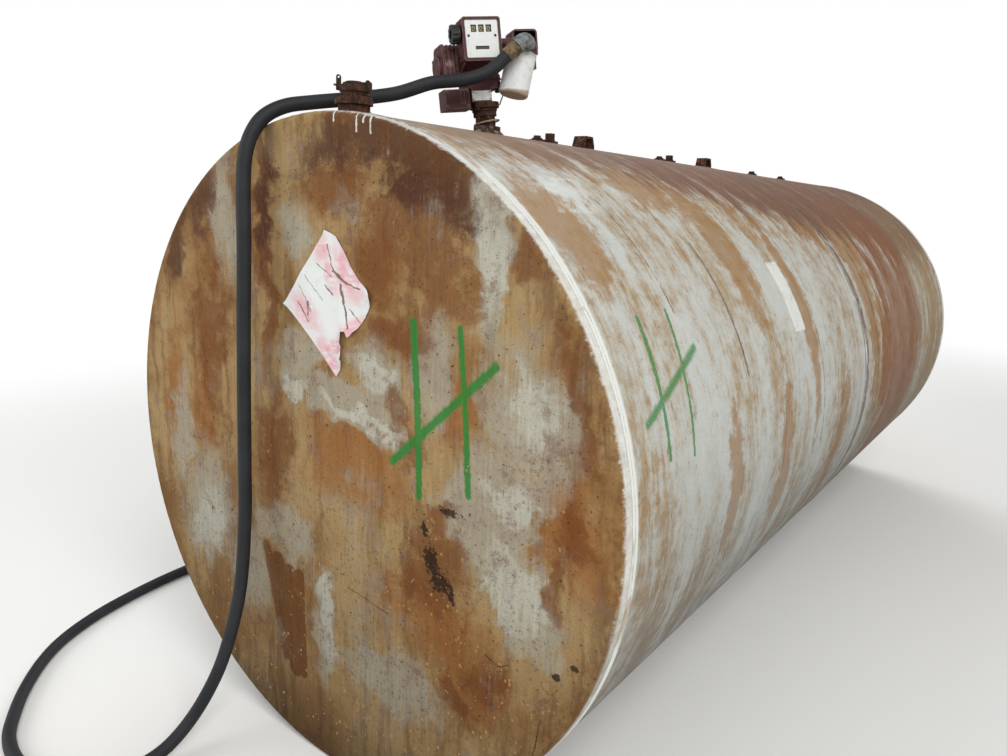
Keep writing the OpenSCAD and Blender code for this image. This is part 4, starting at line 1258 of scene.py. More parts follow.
class Piece:
    """One new mesh in the making, in the tank's frame."""

    def __init__(self, name: str) -> None:
        """Starts an empty mesh of that name."""
        self.name = name
        self.bm = bmesh.new()

    def _settle(self, verts: Sequence[bmesh.types.BMVert], place: Matrix, edge: float) -> None:
        """Rounds a new form's sharp edges and puts it in its place.

        Args:
            verts: the form's vertices.
            place: where it goes.
            edge: radius of its edges, or 0.
        """
        if edge > 0:
            edges = {e for v in verts for e in v.link_edges if e.calc_face_angle(0.0) > SHARP_ANGLE}
            made = bmesh.ops.bevel(
                self.bm,
                geom=list(edges),
                offset=edge,
                segments=2,
                profile=0.5,
                affect="EDGES",
                material=-1,
            )
            whole = {v for v in verts if v.is_valid} | set(made["verts"])
            verts = [v for v in whole if v.is_valid]
        bmesh.ops.transform(self.bm, matrix=place, verts=list(verts))

    def slab(self, place: Matrix, size: Point, edge: float = 0.0) -> "Piece":
        """Adds a box about a place.

        Args:
            place: the box's middle and turn.
            size: its three lengths.
            edge: radius of its edges.

        Returns:
            This piece.
        """
        verts = bmesh.ops.create_cube(self.bm, size=1.0)["verts"]
        bmesh.ops.scale(self.bm, vec=size, verts=verts)
        self._settle(verts, place, edge)
        return self

    def rod(
        self, place: Matrix, radius: float, length: float, sides: int, edge: float = 0.0
    ) -> "Piece":
        """Adds a rod along the place's Z.

        Args:
            place: the middle of its foot.
            radius: its radius, to the corners of a hexagon.
            length: its length.
            sides: how many sides it has.
            edge: radius of its edges.

        Returns:
            This piece.
        """
        verts = bmesh.ops.create_cone(
            self.bm,
            cap_ends=True,
            segments=sides,
            radius1=radius,
            radius2=radius,
            depth=length,
        )["verts"]
        bmesh.ops.translate(self.bm, vec=(0.0, 0.0, length / 2), verts=verts)
        self._settle(verts, place, edge)
        return self

    def bolt(self, place: Matrix, across: float, height: float) -> "Piece":
        """Adds a hexagon head with a washer under it.

        Args:
            place: the foot of the washer, with Z outwards.
            across: width across the flats.
            height: height of the head.

        Returns:
            This piece.
        """
        washer = across * 0.08
        self.rod(place, across * 0.68, washer, 20)
        head = place @ Matrix.Translation((0.0, 0.0, washer * 0.9))
        corner = across / 2 / math.cos(math.pi / 6)
        return self.rod(head, corner, height, 6, across * 0.06)

    def screw(self, place: Matrix, across: float, height: float) -> "Piece":
        """Adds a round head with a slot.

        Args:
            place: the foot of the head, with Z outwards.
            across: its diameter.
            height: its height.

        Returns:
            This piece.
        """
        self.rod(place, across / 2, height, 20, height * 0.35)
        top = place @ Matrix.Translation((0.0, 0.0, height))
        return self.slab(top, (across * 0.8, across * 0.14, height * 0.3))

    def ring(
        self, place: Matrix, radius: float, section: float, steps: int, sides: int
    ) -> "Piece":
        """Adds a round ring about the place's Z.

        Args:
            place: its middle.
            radius: from the middle to the middle of its section.
            section: radius of its section.
            steps: faces round the ring.
            sides: faces round the section.

        Returns:
            This piece.
        """
        start = bmesh.ops.create_circle(
            self.bm, cap_ends=False, segments=sides, radius=section
        )["verts"]
        upright = Matrix.Rotation(math.pi / 2, 3, "X")
        bmesh.ops.rotate(self.bm, cent=(0, 0, 0), matrix=upright, verts=start)
        bmesh.ops.translate(self.bm, vec=(radius, 0.0, 0.0), verts=start)
        edges = list({e for v in start for e in v.link_edges})
        made = bmesh.ops.spin(
            self.bm,
            geom=start + edges,
            cent=(0, 0, 0),
            axis=(0, 0, 1),
            angle=2 * math.pi,
            steps=steps,
            use_merge=True,
        )
        verts = set(start) | {v for v in made["geom_last"] if isinstance(v, bmesh.types.BMVert)}
        reached = [v for v in verts if v.is_valid]
        seen = set(reached)
        while reached:
            for e in reached.pop().link_edges:
                for v in e.verts:
                    if v not in seen:
                        seen.add(v)
                        reached.append(v)
        bmesh.ops.transform(self.bm, matrix=place, verts=list(seen))
        return self

    def scatter(self, places: Iterable[Matrix]) -> "Piece":
        """Repeats what has been built so far, once at each place.

        Args:
            places: where the copies go.

        Returns:
            This piece.
        """
        form = bpy.data.meshes.new(f"{self.name}_form")
        self.bm.to_mesh(form)
        self.bm.clear()
        for place in places:
            copy = form.copy()
            copy.transform(place)
            self.bm.from_mesh(copy)
            bpy.data.meshes.remove(copy)
        bpy.data.meshes.remove(form)
        return self

    def shift(self, push: Callable[[Vector], Vector]) -> "Piece":
        """Moves every vertex by a rule.

        Args:
            push: gives the new place of a point.

        Returns:
            This piece.
        """
        for v in self.bm.verts:
            v.co = push(v.co)
        return self

    def hand_in(
        self, material: Material, slot: Slot, smooth: float = 35.0
    ) -> bpy.types.Object:
        """Turns the mesh into an object that moves with the tank.

        Args:
            material: its finish.
            slot: its slot in the record; not used.
            smooth: angle in degrees up to which its faces are shaded as one.

        Returns:
            The object.
        """
        bmesh.ops.recalc_face_normals(self.bm, faces=self.bm.faces)
        for face in self.bm.faces:
            face.smooth = True
        mesh = bpy.data.meshes.new(self.name)
        self.bm.to_mesh(mesh)
        self.bm.free()
        mesh.set_sharp_from_angle(angle=math.radians(smooth))
        mesh.materials.append(material)
        piece = bpy.data.objects.new(self.name, mesh)
        bpy.context.scene.collection.objects.link(piece)
        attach(piece, "tank")
        LOG.info("piece %s: %d faces", self.name, len(mesh.polygons))
        return piece


def dress(material: Material, *nodes: str) -> None:
    """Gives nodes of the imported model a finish.

    Args:
        material: the finish.
        nodes: names of the nodes.
    """
    for name in nodes:
        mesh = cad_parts[name].data
        mesh.materials.clear()
        mesh.materials.append(material)
    LOG.info("finish %s on %s", material.name, ", ".join(nodes))


def on_shell(point: Vector) -> Vector:
    """Lowers a point that is given over the flat crown to the rolled shell."""
    drop = math.sqrt(TANK_RADIUS**2 - point.x**2) - TANK_RADIUS
    return Vector((point.x, point.y, point.z + drop))


def rings(name: str, middles: Iterable[Matrix], hoop: Hoop) -> Piece:
    """Adds equal rings, such as a thread's.

    Args:
        name: the new piece's name.
        middles: the rings' places.
        hoop: their radius, their section's radius, and the steps round each.

    Returns:
        The piece.
    """
    piece = Piece(name)
    for middle in middles:
        piece.ring(middle, *hoop)
    return piece


def weld(name: str, middles: Iterable[Matrix], hoop: Hoop, seed: int, rough: float) -> Piece:
    """Adds uneven rings that lie on the shell.

    Args:
        name: the new piece's name.
        middles: the rings' places.
        hoop: their radius, their section's radius, and the steps round each.
        seed: seed of the unevenness.
        rough: how uneven they are.

    Returns:
        The piece.
    """
    dice = random.Random(seed)
    piece = rings(name, middles, hoop)
    return piece.shift(lambda p: on_shell(p) + Vector((0.0, 0.0, dice.uniform(-rough, rough))))


@dataclass
class TankShell:
    """The rolled shell, its two flat heads and its welded seams."""

    blisters: int = 620
    blister_radius: Spot = (0.0016, 0.0046)
    across_range: Spot = (-0.85, 0.87)
    height_range: Spot = (0.08, 1.18)
    furthest: float = 0.872
    seed: int = 41

    def dress(self) -> None:
        """Gives the shell, heads and seams their finishes."""
        dress(HeadPaint().material("front_head_paint"), "front_head")
        dress(PlainHeadPaint().material("rear_head_paint"), "rear_head")
        dress(ShellPaint().material("shell_paint"), "front_course", "rear_course")
        dress(SeamPaint().material("head_weld_paint"), "front_head_weld", "rear_head_weld")
        dress(SeamPaint(rusty=1.0).material("girth_seam_paint"), "girth_seam")

    def _blister_spots(self, dice: random.Random) -> list[Point]:
        """Scatters blisters over the lower part of the front head, thicker along wavy lines.

        Args:
            dice: the seeded random numbers.

        Returns:
            The place across, the height and the radius of each.
        """
        spots: list[Point] = []
        while len(spots) < self.blisters:
            across = dice.uniform(*self.across_range)
            height = dice.uniform(*self.height_range)
            if math.hypot(across, height - AXIS_HEIGHT) > self.furthest:
                continue
            wave = 0.62 + 0.10 * math.sin(5.0 * across + 1.0)
            arch = 1.02 - 0.9 * max(0.0, across - 0.45) ** 1.5
            band = math.exp(-(((height - wave) / 0.10) ** 2))
            band += 0.8 * math.exp(-(((height - arch) / 0.035) ** 2)) * (across > 0.35)
            wanted = 0.10 + 0.75 * band * (0.35 + 0.65 * (across > 0.05))
            wanted += 0.25 * (height < 0.5)
            if dice.random() < wanted:
                low, high = self.blister_radius
                spots.append((across, height, low + (high - low) * dice.random() ** 2.2))
        return spots

    def build(self) -> None:
        """Builds the blisters that water has raised in the front head's paint."""
        dice = random.Random(self.seed)
        piece = Piece("head_blisters")
        bmesh.ops.create_uvsphere(piece.bm, u_segments=8, v_segments=5, radius=1.0)
        piece.scatter(
            Matrix.Translation((across, FRONT, height))
            @ Matrix.Diagonal((radius, radius * 0.38, radius * dice.uniform(0.9, 1.35), 1.0))
            for across, height, radius in self._blister_spots(dice)
        )
        finish = PlainFinish(Tone.BLISTER_AND_HIGHLIGHT, 0.42, 40.0).material("blister_paint")
        piece.hand_in(finish, Slot.OCHRE_RUST, WELD_SMOOTH)


@dataclass
class Placard:
    """A square sticker that stands on its corner, torn and peeling, with nothing on it."""

    outline: tuple[Spot, ...] = (
        (0.025, 1.54), (0.063, 1.526), (0.095, 1.489), (0.12, 1.452), (0.148, 1.422),
        (0.176, 1.402), (0.191, 1.386), (0.186, 1.362), (0.168, 1.333), (0.14, 1.302),
        (0.108, 1.277), (0.1, 1.292), (0.084, 1.29), (0.06, 1.303), (0.032, 1.309),
        (-0.006, 1.316), (-0.046, 1.312), (-0.04, 1.282), (-0.016, 1.256), (0.01, 1.244),
        (0.04, 1.232), (0.062, 1.222), (0.087, 1.214), (0.076, 1.19), (0.059, 1.168),
        (0.032, 1.192), (-0.006, 1.226), (-0.05, 1.264), (-0.098, 1.303), (-0.147, 1.338),
        (-0.081, 1.421), (-0.026, 1.482),
    )
    flap: tuple[Spot, ...] = (
        (0.014, 1.244), (0.032, 1.262), (0.062, 1.266), (0.092, 1.26), (0.086, 1.246),
        (0.064, 1.232), (0.04, 1.226),
    )
    curls: tuple[tuple[float, float, float, float], ...] = (
        (0.191, 1.386, 0.04, 0.012), (0.092, 1.292, 0.04, 0.01), (0.085, 1.214, 0.04, 0.012),
        (0.025, 1.54, 0.03, 0.005), (-0.046, 1.312, 0.025, 0.006), (0.13, 1.29, 0.035, 0.008),
        (-0.147, 1.338, 0.025, 0.004), (0.092, 1.26, 0.045, 0.016),
    )
    thickness: float = 0.0006
    gap: float = 0.0009
    sheet_lift: float = 0.0006
    flap_lift: float = 0.0022
    wave_height: float = 0.0006

    def _sheet(self, piece: Piece, outline: Sequence[Spot], lift: float) -> None:
        """Adds a sheet of that outline, cut fine enough to curl.

        Args:
            piece: the mesh.
            outline: its corners in order.
            lift: its distance from the head.
        """
        verts = [piece.bm.verts.new((x, FRONT - lift, z)) for x, z in outline]
        face = piece.bm.faces.new(verts)
        made = bmesh.ops.triangulate(piece.bm, faces=[face])["faces"]
        edges = list({e for f in made for e in f.edges})
        inner = bmesh.ops.subdivide_edges(
            piece.bm, edges=edges, cuts=7, use_grid_fill=True
        )["geom_inner"]
        faces = {f for f in inner if isinstance(f, bmesh.types.BMFace)}
        corners = [v for v in inner if isinstance(v, bmesh.types.BMVert)]
        faces |= {f for v in corners for f in v.link_faces}
        back = bmesh.ops.extrude_face_region(piece.bm, geom=list(faces), use_keep_orig=True)["geom"]
        far = [v for v in back if isinstance(v, bmesh.types.BMVert)]
        bmesh.ops.translate(piece.bm, vec=(0.0, -self.thickness, 0.0), verts=far)

    def _curled(self, point: Vector) -> Vector:
        """Lifts a point off the head near the curled corners.

        Args:
            point: the point on the flat sheet.

        Returns:
            The lifted point.
        """
        lift = 0.0
        for x, z, reach, height in self.curls:
            near = 1 - math.hypot(point.x - x, point.z - z) / reach
            if near > 0:
                lift += height * near * near
        wave = self.wave_height * math.sin(60 * point.x + 35 * point.z)
        return Vector((point.x, point.y - lift - wave, point.z))

    def build(self) -> None:
        """Builds the sticker and its torn flap."""
        piece = Piece("placard")
        self._sheet(piece, self.outline, self.gap + self.sheet_lift)
        self._sheet(piece, self.flap, self.gap + self.flap_lift)
        piece.shift(self._curled)
        piece.hand_in(PlacardPaint().material("placard_paint"), Slot.WHITE_FACE, smooth=50.0)


@dataclass
class FillFitting:
    """The stacked fill fitting with its hinged cap."""

    neck_thread: Hoop = (0.0332, 0.0011, 56, 8)
    thread_foot: float = 0.0455
    thread_pitch: float = 0.0030
    threads: int = 4
    collar_weld: Hoop = (0.0415, 0.0042, 72, 10)
    weld_height: float = 0.0055
    stud_circle: float = 0.041
    stud_foot: float = 0.043
    stud_turn: float = 12.0

    def dress(self) -> None:
        """Gives the fitting its rust."""
        dress(RustySteel(0.45, 60.0).material("fill_fitting_rust"), "fill_saddle", "fill_neck")
        dress(RustySteel(0.25, 75.0).material("fill_cap_rust"), "fill_cap_base", "fill_cap")

    def build(self) -> None:
        """Builds the neck's threads, the weld round the collar and the studs of its plate."""
        place = fill_place()
        rust = RustySteel(0.5, 90.0).material("fill_weld_rust")
        turns = [place.at(z=self.thread_foot + i * self.thread_pitch) for i in range(self.threads)]
        rings("fill_neck_threads", turns, self.neck_thread).hand_in(rust, Slot.RUSTY_STEEL)
        foot = [place.at(z=self.weld_height)]
        collar = weld("fill_collar_weld", foot, self.collar_weld, 5, WELD_ROUGHNESS)
        collar.hand_in(rust, Slot.RUSTY_STEEL, WELD_SMOOTH)
        studs = Piece("fill_plate_studs")
        for degrees in range(0, 360, 90):
            spot = place.on_circle(degrees + self.stud_turn, self.stud_circle, self.stud_foot)
            studs.bolt(spot, 0.0095, 0.0045)
        studs.hand_in(rust, Slot.RUSTY_STEEL)


@dataclass
class CrownFittings:
    """Bungs and lifting lugs along the crown, with the welds round the bungs' feet."""

    bungs: tuple[float, ...] = (0.946, 1.024, 1.885, 1.985, 3.040, 3.534)
    bung_weld: Hoop = (0.030, 0.0035, 56, 8)

    def dress(self) -> None:
        """Gives the fittings their rust."""
        bungs = ("front_bungs", "middle_bungs", "rear_bungs")
        dress(RustySteel(0.3, 55.0).material("bung_rust"), *bungs)
        dress(RustySteel(0.55, 50.0).material("lug_rust"), "front_lifting_lug", "rear_lifting_lug")

    def build(self) -> None:
        """Builds the welds round the feet of the bungs."""
        feet = [crown_spot(from_head) for from_head in self.bungs]
        welds = weld("crown_welds", feet, self.bung_weld, 11, WELD_ROUGHNESS)
        rust = RustySteel(0.6, 80.0).material("crown_weld_rust")
        welds.hand_in(rust, Slot.RUSTY_STEEL, WELD_SMOOTH)


@dataclass
class PumpStand:
    """Boss, riser and flange that carry the pump."""

    boss_weld: Hoop = (0.051, 0.0045, 72, 10)
    weld_roughness: float = 0.0007
    riser_thread: Hoop = (0.0301, 0.0012, 56, 8)
    thread_foot: float = 0.0340
    thread_pitch: float = 0.0032
    threads: int = 6
    bolt_circle: float = 0.046
    flange_foot: float = 0.081
    flange_top: float = 0.097
    bolt_size: Spot = (0.014, 0.007)

    def dress(self) -> None:
        """Gives the stand its finishes."""
        dress(RustySteel(0.3, 60.0, 0.6).material("boss_rust"), "pump_boss", "riser_pipe")
        dress(RustySteel(0.2, 50.0).material("flange_rust"), "pump_flange")
        dress(PlainFinish(Tone.WIRE_TAN, 0.8).material("wire_loop_tan"), "wire_loop")

    def build(self) -> None:
        """Builds the boss's weld, the riser's threads and the flange's bolts."""
        place = pump_place()
        rust = RustySteel(0.45, 80.0).material("stand_rust")
        foot = [crown_spot(PUMP_FROM_HEAD, 0.001)]
        boss = weld("pump_boss_weld", foot, self.boss_weld, 8, self.weld_roughness)
        boss.hand_in(rust, Slot.RUSTY_STEEL, WELD_SMOOTH)
        turns = [place.at(z=self.thread_foot + i * self.thread_pitch) for i in range(self.threads)]
        rings("riser_threads", turns, self.riser_thread).hand_in(rust, Slot.RUSTY_STEEL)
        bolts = Piece("flange_bolts")
        for degrees in (45, 225):
            spot = place.on_circle(degrees, self.bolt_circle, self.flange_foot)
            bolts.bolt(Place(spot).along(0.0, 0.0, 0.0, DOWN), *self.bolt_size)
        bolts.bolt(place.on_circle(45, self.bolt_circle, self.flange_top), *self.bolt_size)
        bolts.hand_in(rust, Slot.RUSTY_STEEL)


@dataclass
class FuelPump:
    """The pump's casing, its motor and its switch box."""

    casing_x: float = -0.062
    casing_front: float = -0.040
    casing_foot: float = 0.137
    plate_middle: Spot = (0.044, 0.115)
    plate_size: Spot = (0.060, 0.028)
    rivet_inset: float = 0.004
    bolt_middle: Point = (0.108, 0.010, 0.049)
    blotch: Point = (-0.110, -0.040, 0.262)
    bare_spot: Point = (-0.108, -0.042, 0.212)
    bolt_circle: float = 0.036

    def dress(self) -> None:
        """Gives the pump its enamel."""
        place = pump_place()
        blotch = tuple(place.at(*self.blotch).translation)
        bare = tuple(place.at(*self.bare_spot).translation)
        dress(MaroonEnamel(0.35).material("casing_maroon"), "pump_casing")
        motor = MaroonEnamel(0.5, blotch, bare).material("motor_maroon")
        dress(motor, "motor_housing", "motor_cover")
        dress(MaroonEnamel(0.25).material("switch_box_maroon"), "switch_box")
        dress(WhiteEnamel(0.8).material("nameplate_grey"), "nameplate")
        dress(PlainFinish(Tone.PLASTIC, 0.6).material("bonding_wire_black"), "bonding_wire")

    def build(self) -> None:
        """Builds the nameplate's rivets and the casing's bolts."""
        place = pump_place()
        rust = RustySteel(0.3, 90.0).material("pump_bolt_rust")
        front = self.casing_front - 0.001
        across, up = (size / 2 - self.rivet_inset for size in self.plate_size)
        rivets = Piece("nameplate_rivets")
        for sx in (-1, 1):
            for sz in (-1, 1):
                x = self.casing_x + self.plate_middle[0] + sx * across
                spot = place.along(x, front, self.plate_middle[1] + sz * up, FORWARD)
                rivets.rod(spot, 0.0019, 0.0012, 14, 0.0004)
        rivets.hand_in(rust, Slot.RUSTY_STEEL)
        bolts = Piece("casing_bolts")
        right, middle, lift = self.bolt_middle
        for degrees in (35, 145, 215, 325):
            angle = math.radians(degrees)
            y = middle + self.bolt_circle * math.cos(angle)
            z = self.casing_foot + lift + self.bolt_circle * math.sin(angle)
            bolts.bolt(place.along(self.casing_x + right, y, z, RIGHT), 0.010, 0.005)
        bolts.hand_in(rust, Slot.RUSTY_STEEL)


@dataclass
class FlowMeter:
    """The meter's housing, plate, number wheels and reset knob."""

    middle: float = -0.021
    plate_y: float = -0.1025
    window_z: float = 0.292
    window_pitch: float = 0.023
    zero_y: float = -0.1003
    screw_reach: float = 0.041
    screw_z: float = 0.272

    def dress(self) -> None:
        """Gives the meter its finishes."""
        dress(MaroonEnamel(0.45).material("meter_maroon"), "meter_housing")
        dress(WhiteEnamel(0.18).material("meter_plate_white"), "meter_face")
        dress(PlainFinish(Tone.WHEEL, 0.5).material("number_wheel_olive"), "counter_wheels")
        black = DustyBlack(Tone.PLASTIC, Tone.PLASTIC_GREY, 0.5, 0.5)
        dress(black.material("knob_black"), "reset_knob")

    def build(self) -> None:
        """Builds the plate's screws, the zeros on the wheels and the housing's screws."""
        place = pump_place()
        black = DustyBlack(Tone.PLASTIC, Tone.PLASTIC_GREY, 0.5, 0.4).material("screw_black")
        screws = Piece("meter_plate_screws")
        for x in (self.middle - self.screw_reach, self.middle + self.screw_reach):
            screws.screw(place.along(x, self.plate_y, self.screw_z, FORWARD), 0.0075, 0.0018)
        screws.hand_in(black, Slot.PLASTIC)
        zeros = Piece("counter_zeros")
        for i in (-1, 0, 1):
            x = self.middle - 0.001 + i * self.window_pitch
            spot = place.along(x, self.zero_y, self.window_z, FORWARD)
            squeeze = Matrix.Diagonal((0.62, 1.0, 0.35, 1.0))
            zeros.ring(spot @ squeeze, 0.0062, 0.0011, 28, 6)
        zeros.hand_in(PlainFinish(Tone.DIGIT, 0.5).material("zero_cream"), Slot.COUNTER)
        rim = Piece("meter_housing_screws")
        rust = RustySteel(0.3, 90.0).material("meter_screw_rust")
        for spot in (
            place.along(0.038, -0.072, 0.224, RIGHT),
            place.along(0.038, -0.072, 0.303, RIGHT),
            place.along(-0.080, -0.052, 0.224, LEFT),
        ):
            rim.screw(spot, 0.008, 0.0028)
        rim.hand_in(rust, Slot.RUSTY_STEEL)


@dataclass
class OutletAndFilter:
    """Outlet pipe, spin-on filter, elbow and hose coupling."""

    band: Hoop = (0.0240, 0.0012, 56, 8)
    band_places: Spot = (0.0285, 0.0345)
    can_rust_height: float = 0.022

    def dress(self) -> None:
        """Gives the outlet its finishes."""
        dress(MaroonEnamel(0.7).material("outlet_maroon"), "outlet_pipe", "filter_head")
        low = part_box("filter_can")[0].z + self.can_rust_height
        dress(WhiteEnamel(0.5, low).material("filter_can_white"), "filter_can")
        dress(CastMetal().material("elbow_cast"), "outlet_elbow")
        brass = CastMetal(Tone.BRASS, Tone.BRASS_DULL, 0.3, 0.6)
        dress(brass.material("coupling_brass"), "hose_coupling")

    def build(self) -> None:
        """Builds the raised bands of the elbow's outlet."""
        place = elbow_place()
        middles = [place.along(far, 0.0, 0.0, RIGHT) for far in self.band_places]
        bands = rings("elbow_bands", middles, self.band)
        bands.hand_in(CastMetal().material("elbow_band_cast"), Slot.ALUMINIUM)


@dataclass
class NozzleBoot:
    """The open box that holds the nozzle, and its bracket."""

    hollow_middle: Point = (0.149, 0.018, 0.274)
    hollow_half: Point = (0.0364, 0.0310, 0.0304)

    def dress(self) -> None:
        """Gives the boot its finishes."""
        # The inside of the boot's open box gets painted shade.
        shaded_hollow = (pump_place().at(*self.hollow_middle), self.hollow_half)
        maroon = MaroonEnamel(0.3, shaded_hollow=shaded_hollow).material("boot_maroon")
        dress(maroon, "nozzle_boot", "boot_bracket")
        grey = DustyBlack(Tone.PLASTIC_GREY, Tone.RUBBER_DUST, 0.6, 0.5)
        dress(grey.material("boot_rest_grey"), "boot_rest")


@dataclass
class DeliveryHose:
    """The hose from the coupling, over the head and along the ground to its coil and nozzle."""

    diameter: float = 0.038
    route: tuple[Point, ...] = (
        (0.1063, -1.4642, 2.0454), (0.0856, -1.4872, 2.0141), (0.062, -1.517, 1.99),
        (0.027, -1.573, 1.968), (-0.009, -1.661, 1.95), (-0.067, -1.748, 1.913),
        (-0.116, -1.876, 1.885), (-0.157, -1.97, 1.867), (-0.186, -2.033, 1.852),
        (-0.206, -2.082, 1.824), (-0.213, -2.117, 1.783), (-0.217, -2.14, 1.725),
        (-0.219, -2.149, 1.64), (-0.221, -2.153, 1.477), (-0.236, -2.153, 1.27),
        (-0.248, -2.153, 1.063), (-0.258, -2.153, 0.87), (-0.267, -2.154, 0.7),
        (-0.279, -2.172, 0.483), (-0.313, -2.207, 0.288), (-0.34, -2.253, 0.165),
        (-0.357, -2.32, 0.076), (-0.36, -2.402, 0.032), (-0.376, -2.485, 0.019),
        (-0.425, -2.575, 0.019), (-0.52, -2.64, 0.019), (-0.64, -2.668, 0.019),
        (-0.77, -2.645, 0.019), (-0.885, -2.586, 0.019), (-1.0, -2.508, 0.019),
        (-1.115, -2.408, 0.019), (-1.203, -2.3, 0.019), (-1.275, -2.155, 0.019),
        (-1.325, -1.99, 0.019), (-1.358, -1.82, 0.019), (-1.374, -1.65, 0.019),
        (-1.38, -1.48, 0.019), (-1.38, -1.31, 0.019), (-1.377, -1.15, 0.019),
    )
    coil_middle: Spot = (-1.148, -1.000)
    coil_radius: float = 0.228
    coil_turns: float = 1.5
    per_turn: int = 16
    climb_start: float = 0.80
    climb_run: float = 0.18
    tail: tuple[Point, ...] = (
        (-0.92, -1.075, 0.054), (-0.921, -1.15, 0.042), (-0.923, -1.225, 0.029),
        (-0.926, -1.3, 0.023), (-0.93, -1.37, 0.022), (-0.934, -1.43, 0.022),
    )

    def _coil(self) -> list[Point]:
        """Lays out the coil, whose second turn lies on the first.

        Returns:
            Its points in order.
        """
        low = self.diameter / 2
        points: list[Point] = []
        steps = int(self.coil_turns * self.per_turn)
        for i in range(steps + 1):
            turned = i / self.per_turn
            angle = math.pi - 2 * math.pi * turned
            climb = min(1.0, max(0.0, (turned - self.climb_start) / self.climb_run))
            climb = climb * climb * (3 - 2 * climb)
            x = self.coil_middle[0] + self.coil_radius * math.cos(angle)
            y = self.coil_middle[1] + self.coil_radius * math.sin(angle)
            points.append((x, y, low + self.diameter * climb))
        return points

    def build(self, nozzle_pieces: Sequence[bpy.types.Object]) -> bpy.types.Object:
        """Lays the hose as one open curve.

        Args:
            nozzle_pieces: the pieces at its far end; not used.

        Returns:
            The hose.
        """
        points = [Vector(p) for p in (*self.route, *self._coil(), *self.tail)]
        curve = bpy.data.curves.new("delivery_hose", "CURVE")
        curve.dimensions = "3D"
        curve.bevel_depth = self.diameter / 2
        curve.bevel_resolution = 6
        curve.resolution_u = 8
        curve.use_fill_caps = True
        spline = curve.splines.new("BEZIER")
        spline.bezier_points.add(len(points) - 1)
        for i, knot in enumerate(spline.bezier_points):
            before = points[i - 1] if i else 2 * points[0] - points[1]
            after = points[i + 1] if i + 1 < len(points) else 2 * points[-1] - points[-2]
            pull = (after - before) / 6
            knot.handle_left_type = knot.handle_right_type = "FREE"
            knot.co = points[i]
            knot.handle_left = points[i] - pull
            knot.handle_right = points[i] + pull
        hose = bpy.data.objects.new("delivery_hose", curve)
        bpy.context.scene.collection.objects.link(hose)
        curve.materials.append(DustyBlack().material("hose_rubber"))
        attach(hose, "tank")
        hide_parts("hose", "hose_coil", "hose_tail")
        LOG.info("hose laid through %d points", len(points))
        return hose


@dataclass
class Nozzle:
    """The delivery nozzle that lies on the ground at the hose's end."""

    start: Point = (-0.934, -1.430, 0.022)
    turn: float = -94.0
    lever_middle: Point = (0.096, 0.0285, 0.0)
    lever_size: Point = (0.088, 0.006, 0.016)
    lever_tilt: float = 9.0

    def dress(self) -> None:
        """Gives the nozzle its finishes."""
        dress(CastMetal(roughness=0.45).material("nozzle_cast"), "nozzle_body", "nozzle_spout")
        black = DustyBlack(Tone.PLASTIC, Tone.PLASTIC_GREY, 0.55, 0.5)
        dress(black.material("guard_black"), "nozzle_guard")

    def build(self) -> list[bpy.types.Object]:
        """Builds the swivel's collar and the lever inside the guard.

        Returns:
            The new pieces.
        """
        turn = Matrix.Rotation(math.radians(self.turn), 4, "Z")
        place = Place(Matrix.Translation(self.start) @ turn)
        collar = Piece("nozzle_swivel_collar")
        collar.rod(place.along(0.004, 0.0, 0.0, RIGHT), 0.0232, 0.010, 6, 0.001)
        collar.rod(place.along(0.024, 0.0, 0.0, RIGHT), 0.0225, 0.006, 32, 0.001)
        metal = CastMetal(roughness=0.4).material("swivel_cast")
        lever = Piece("nozzle_lever")
        tilt = Matrix.Rotation(math.radians(self.lever_tilt), 4, "Z")
        lever.slab(place.at(*self.lever_middle) @ tilt, self.lever_size, 0.002)
        steel = CastMetal(Tone.ALUMINIUM_DULL, Tone.STEEL_DARK, 0.5, 0.5).material("lever_steel")
        return [collar.hand_in(metal, Slot.ALUMINIUM), lever.hand_in(steel, Slot.ALUMINIUM)]


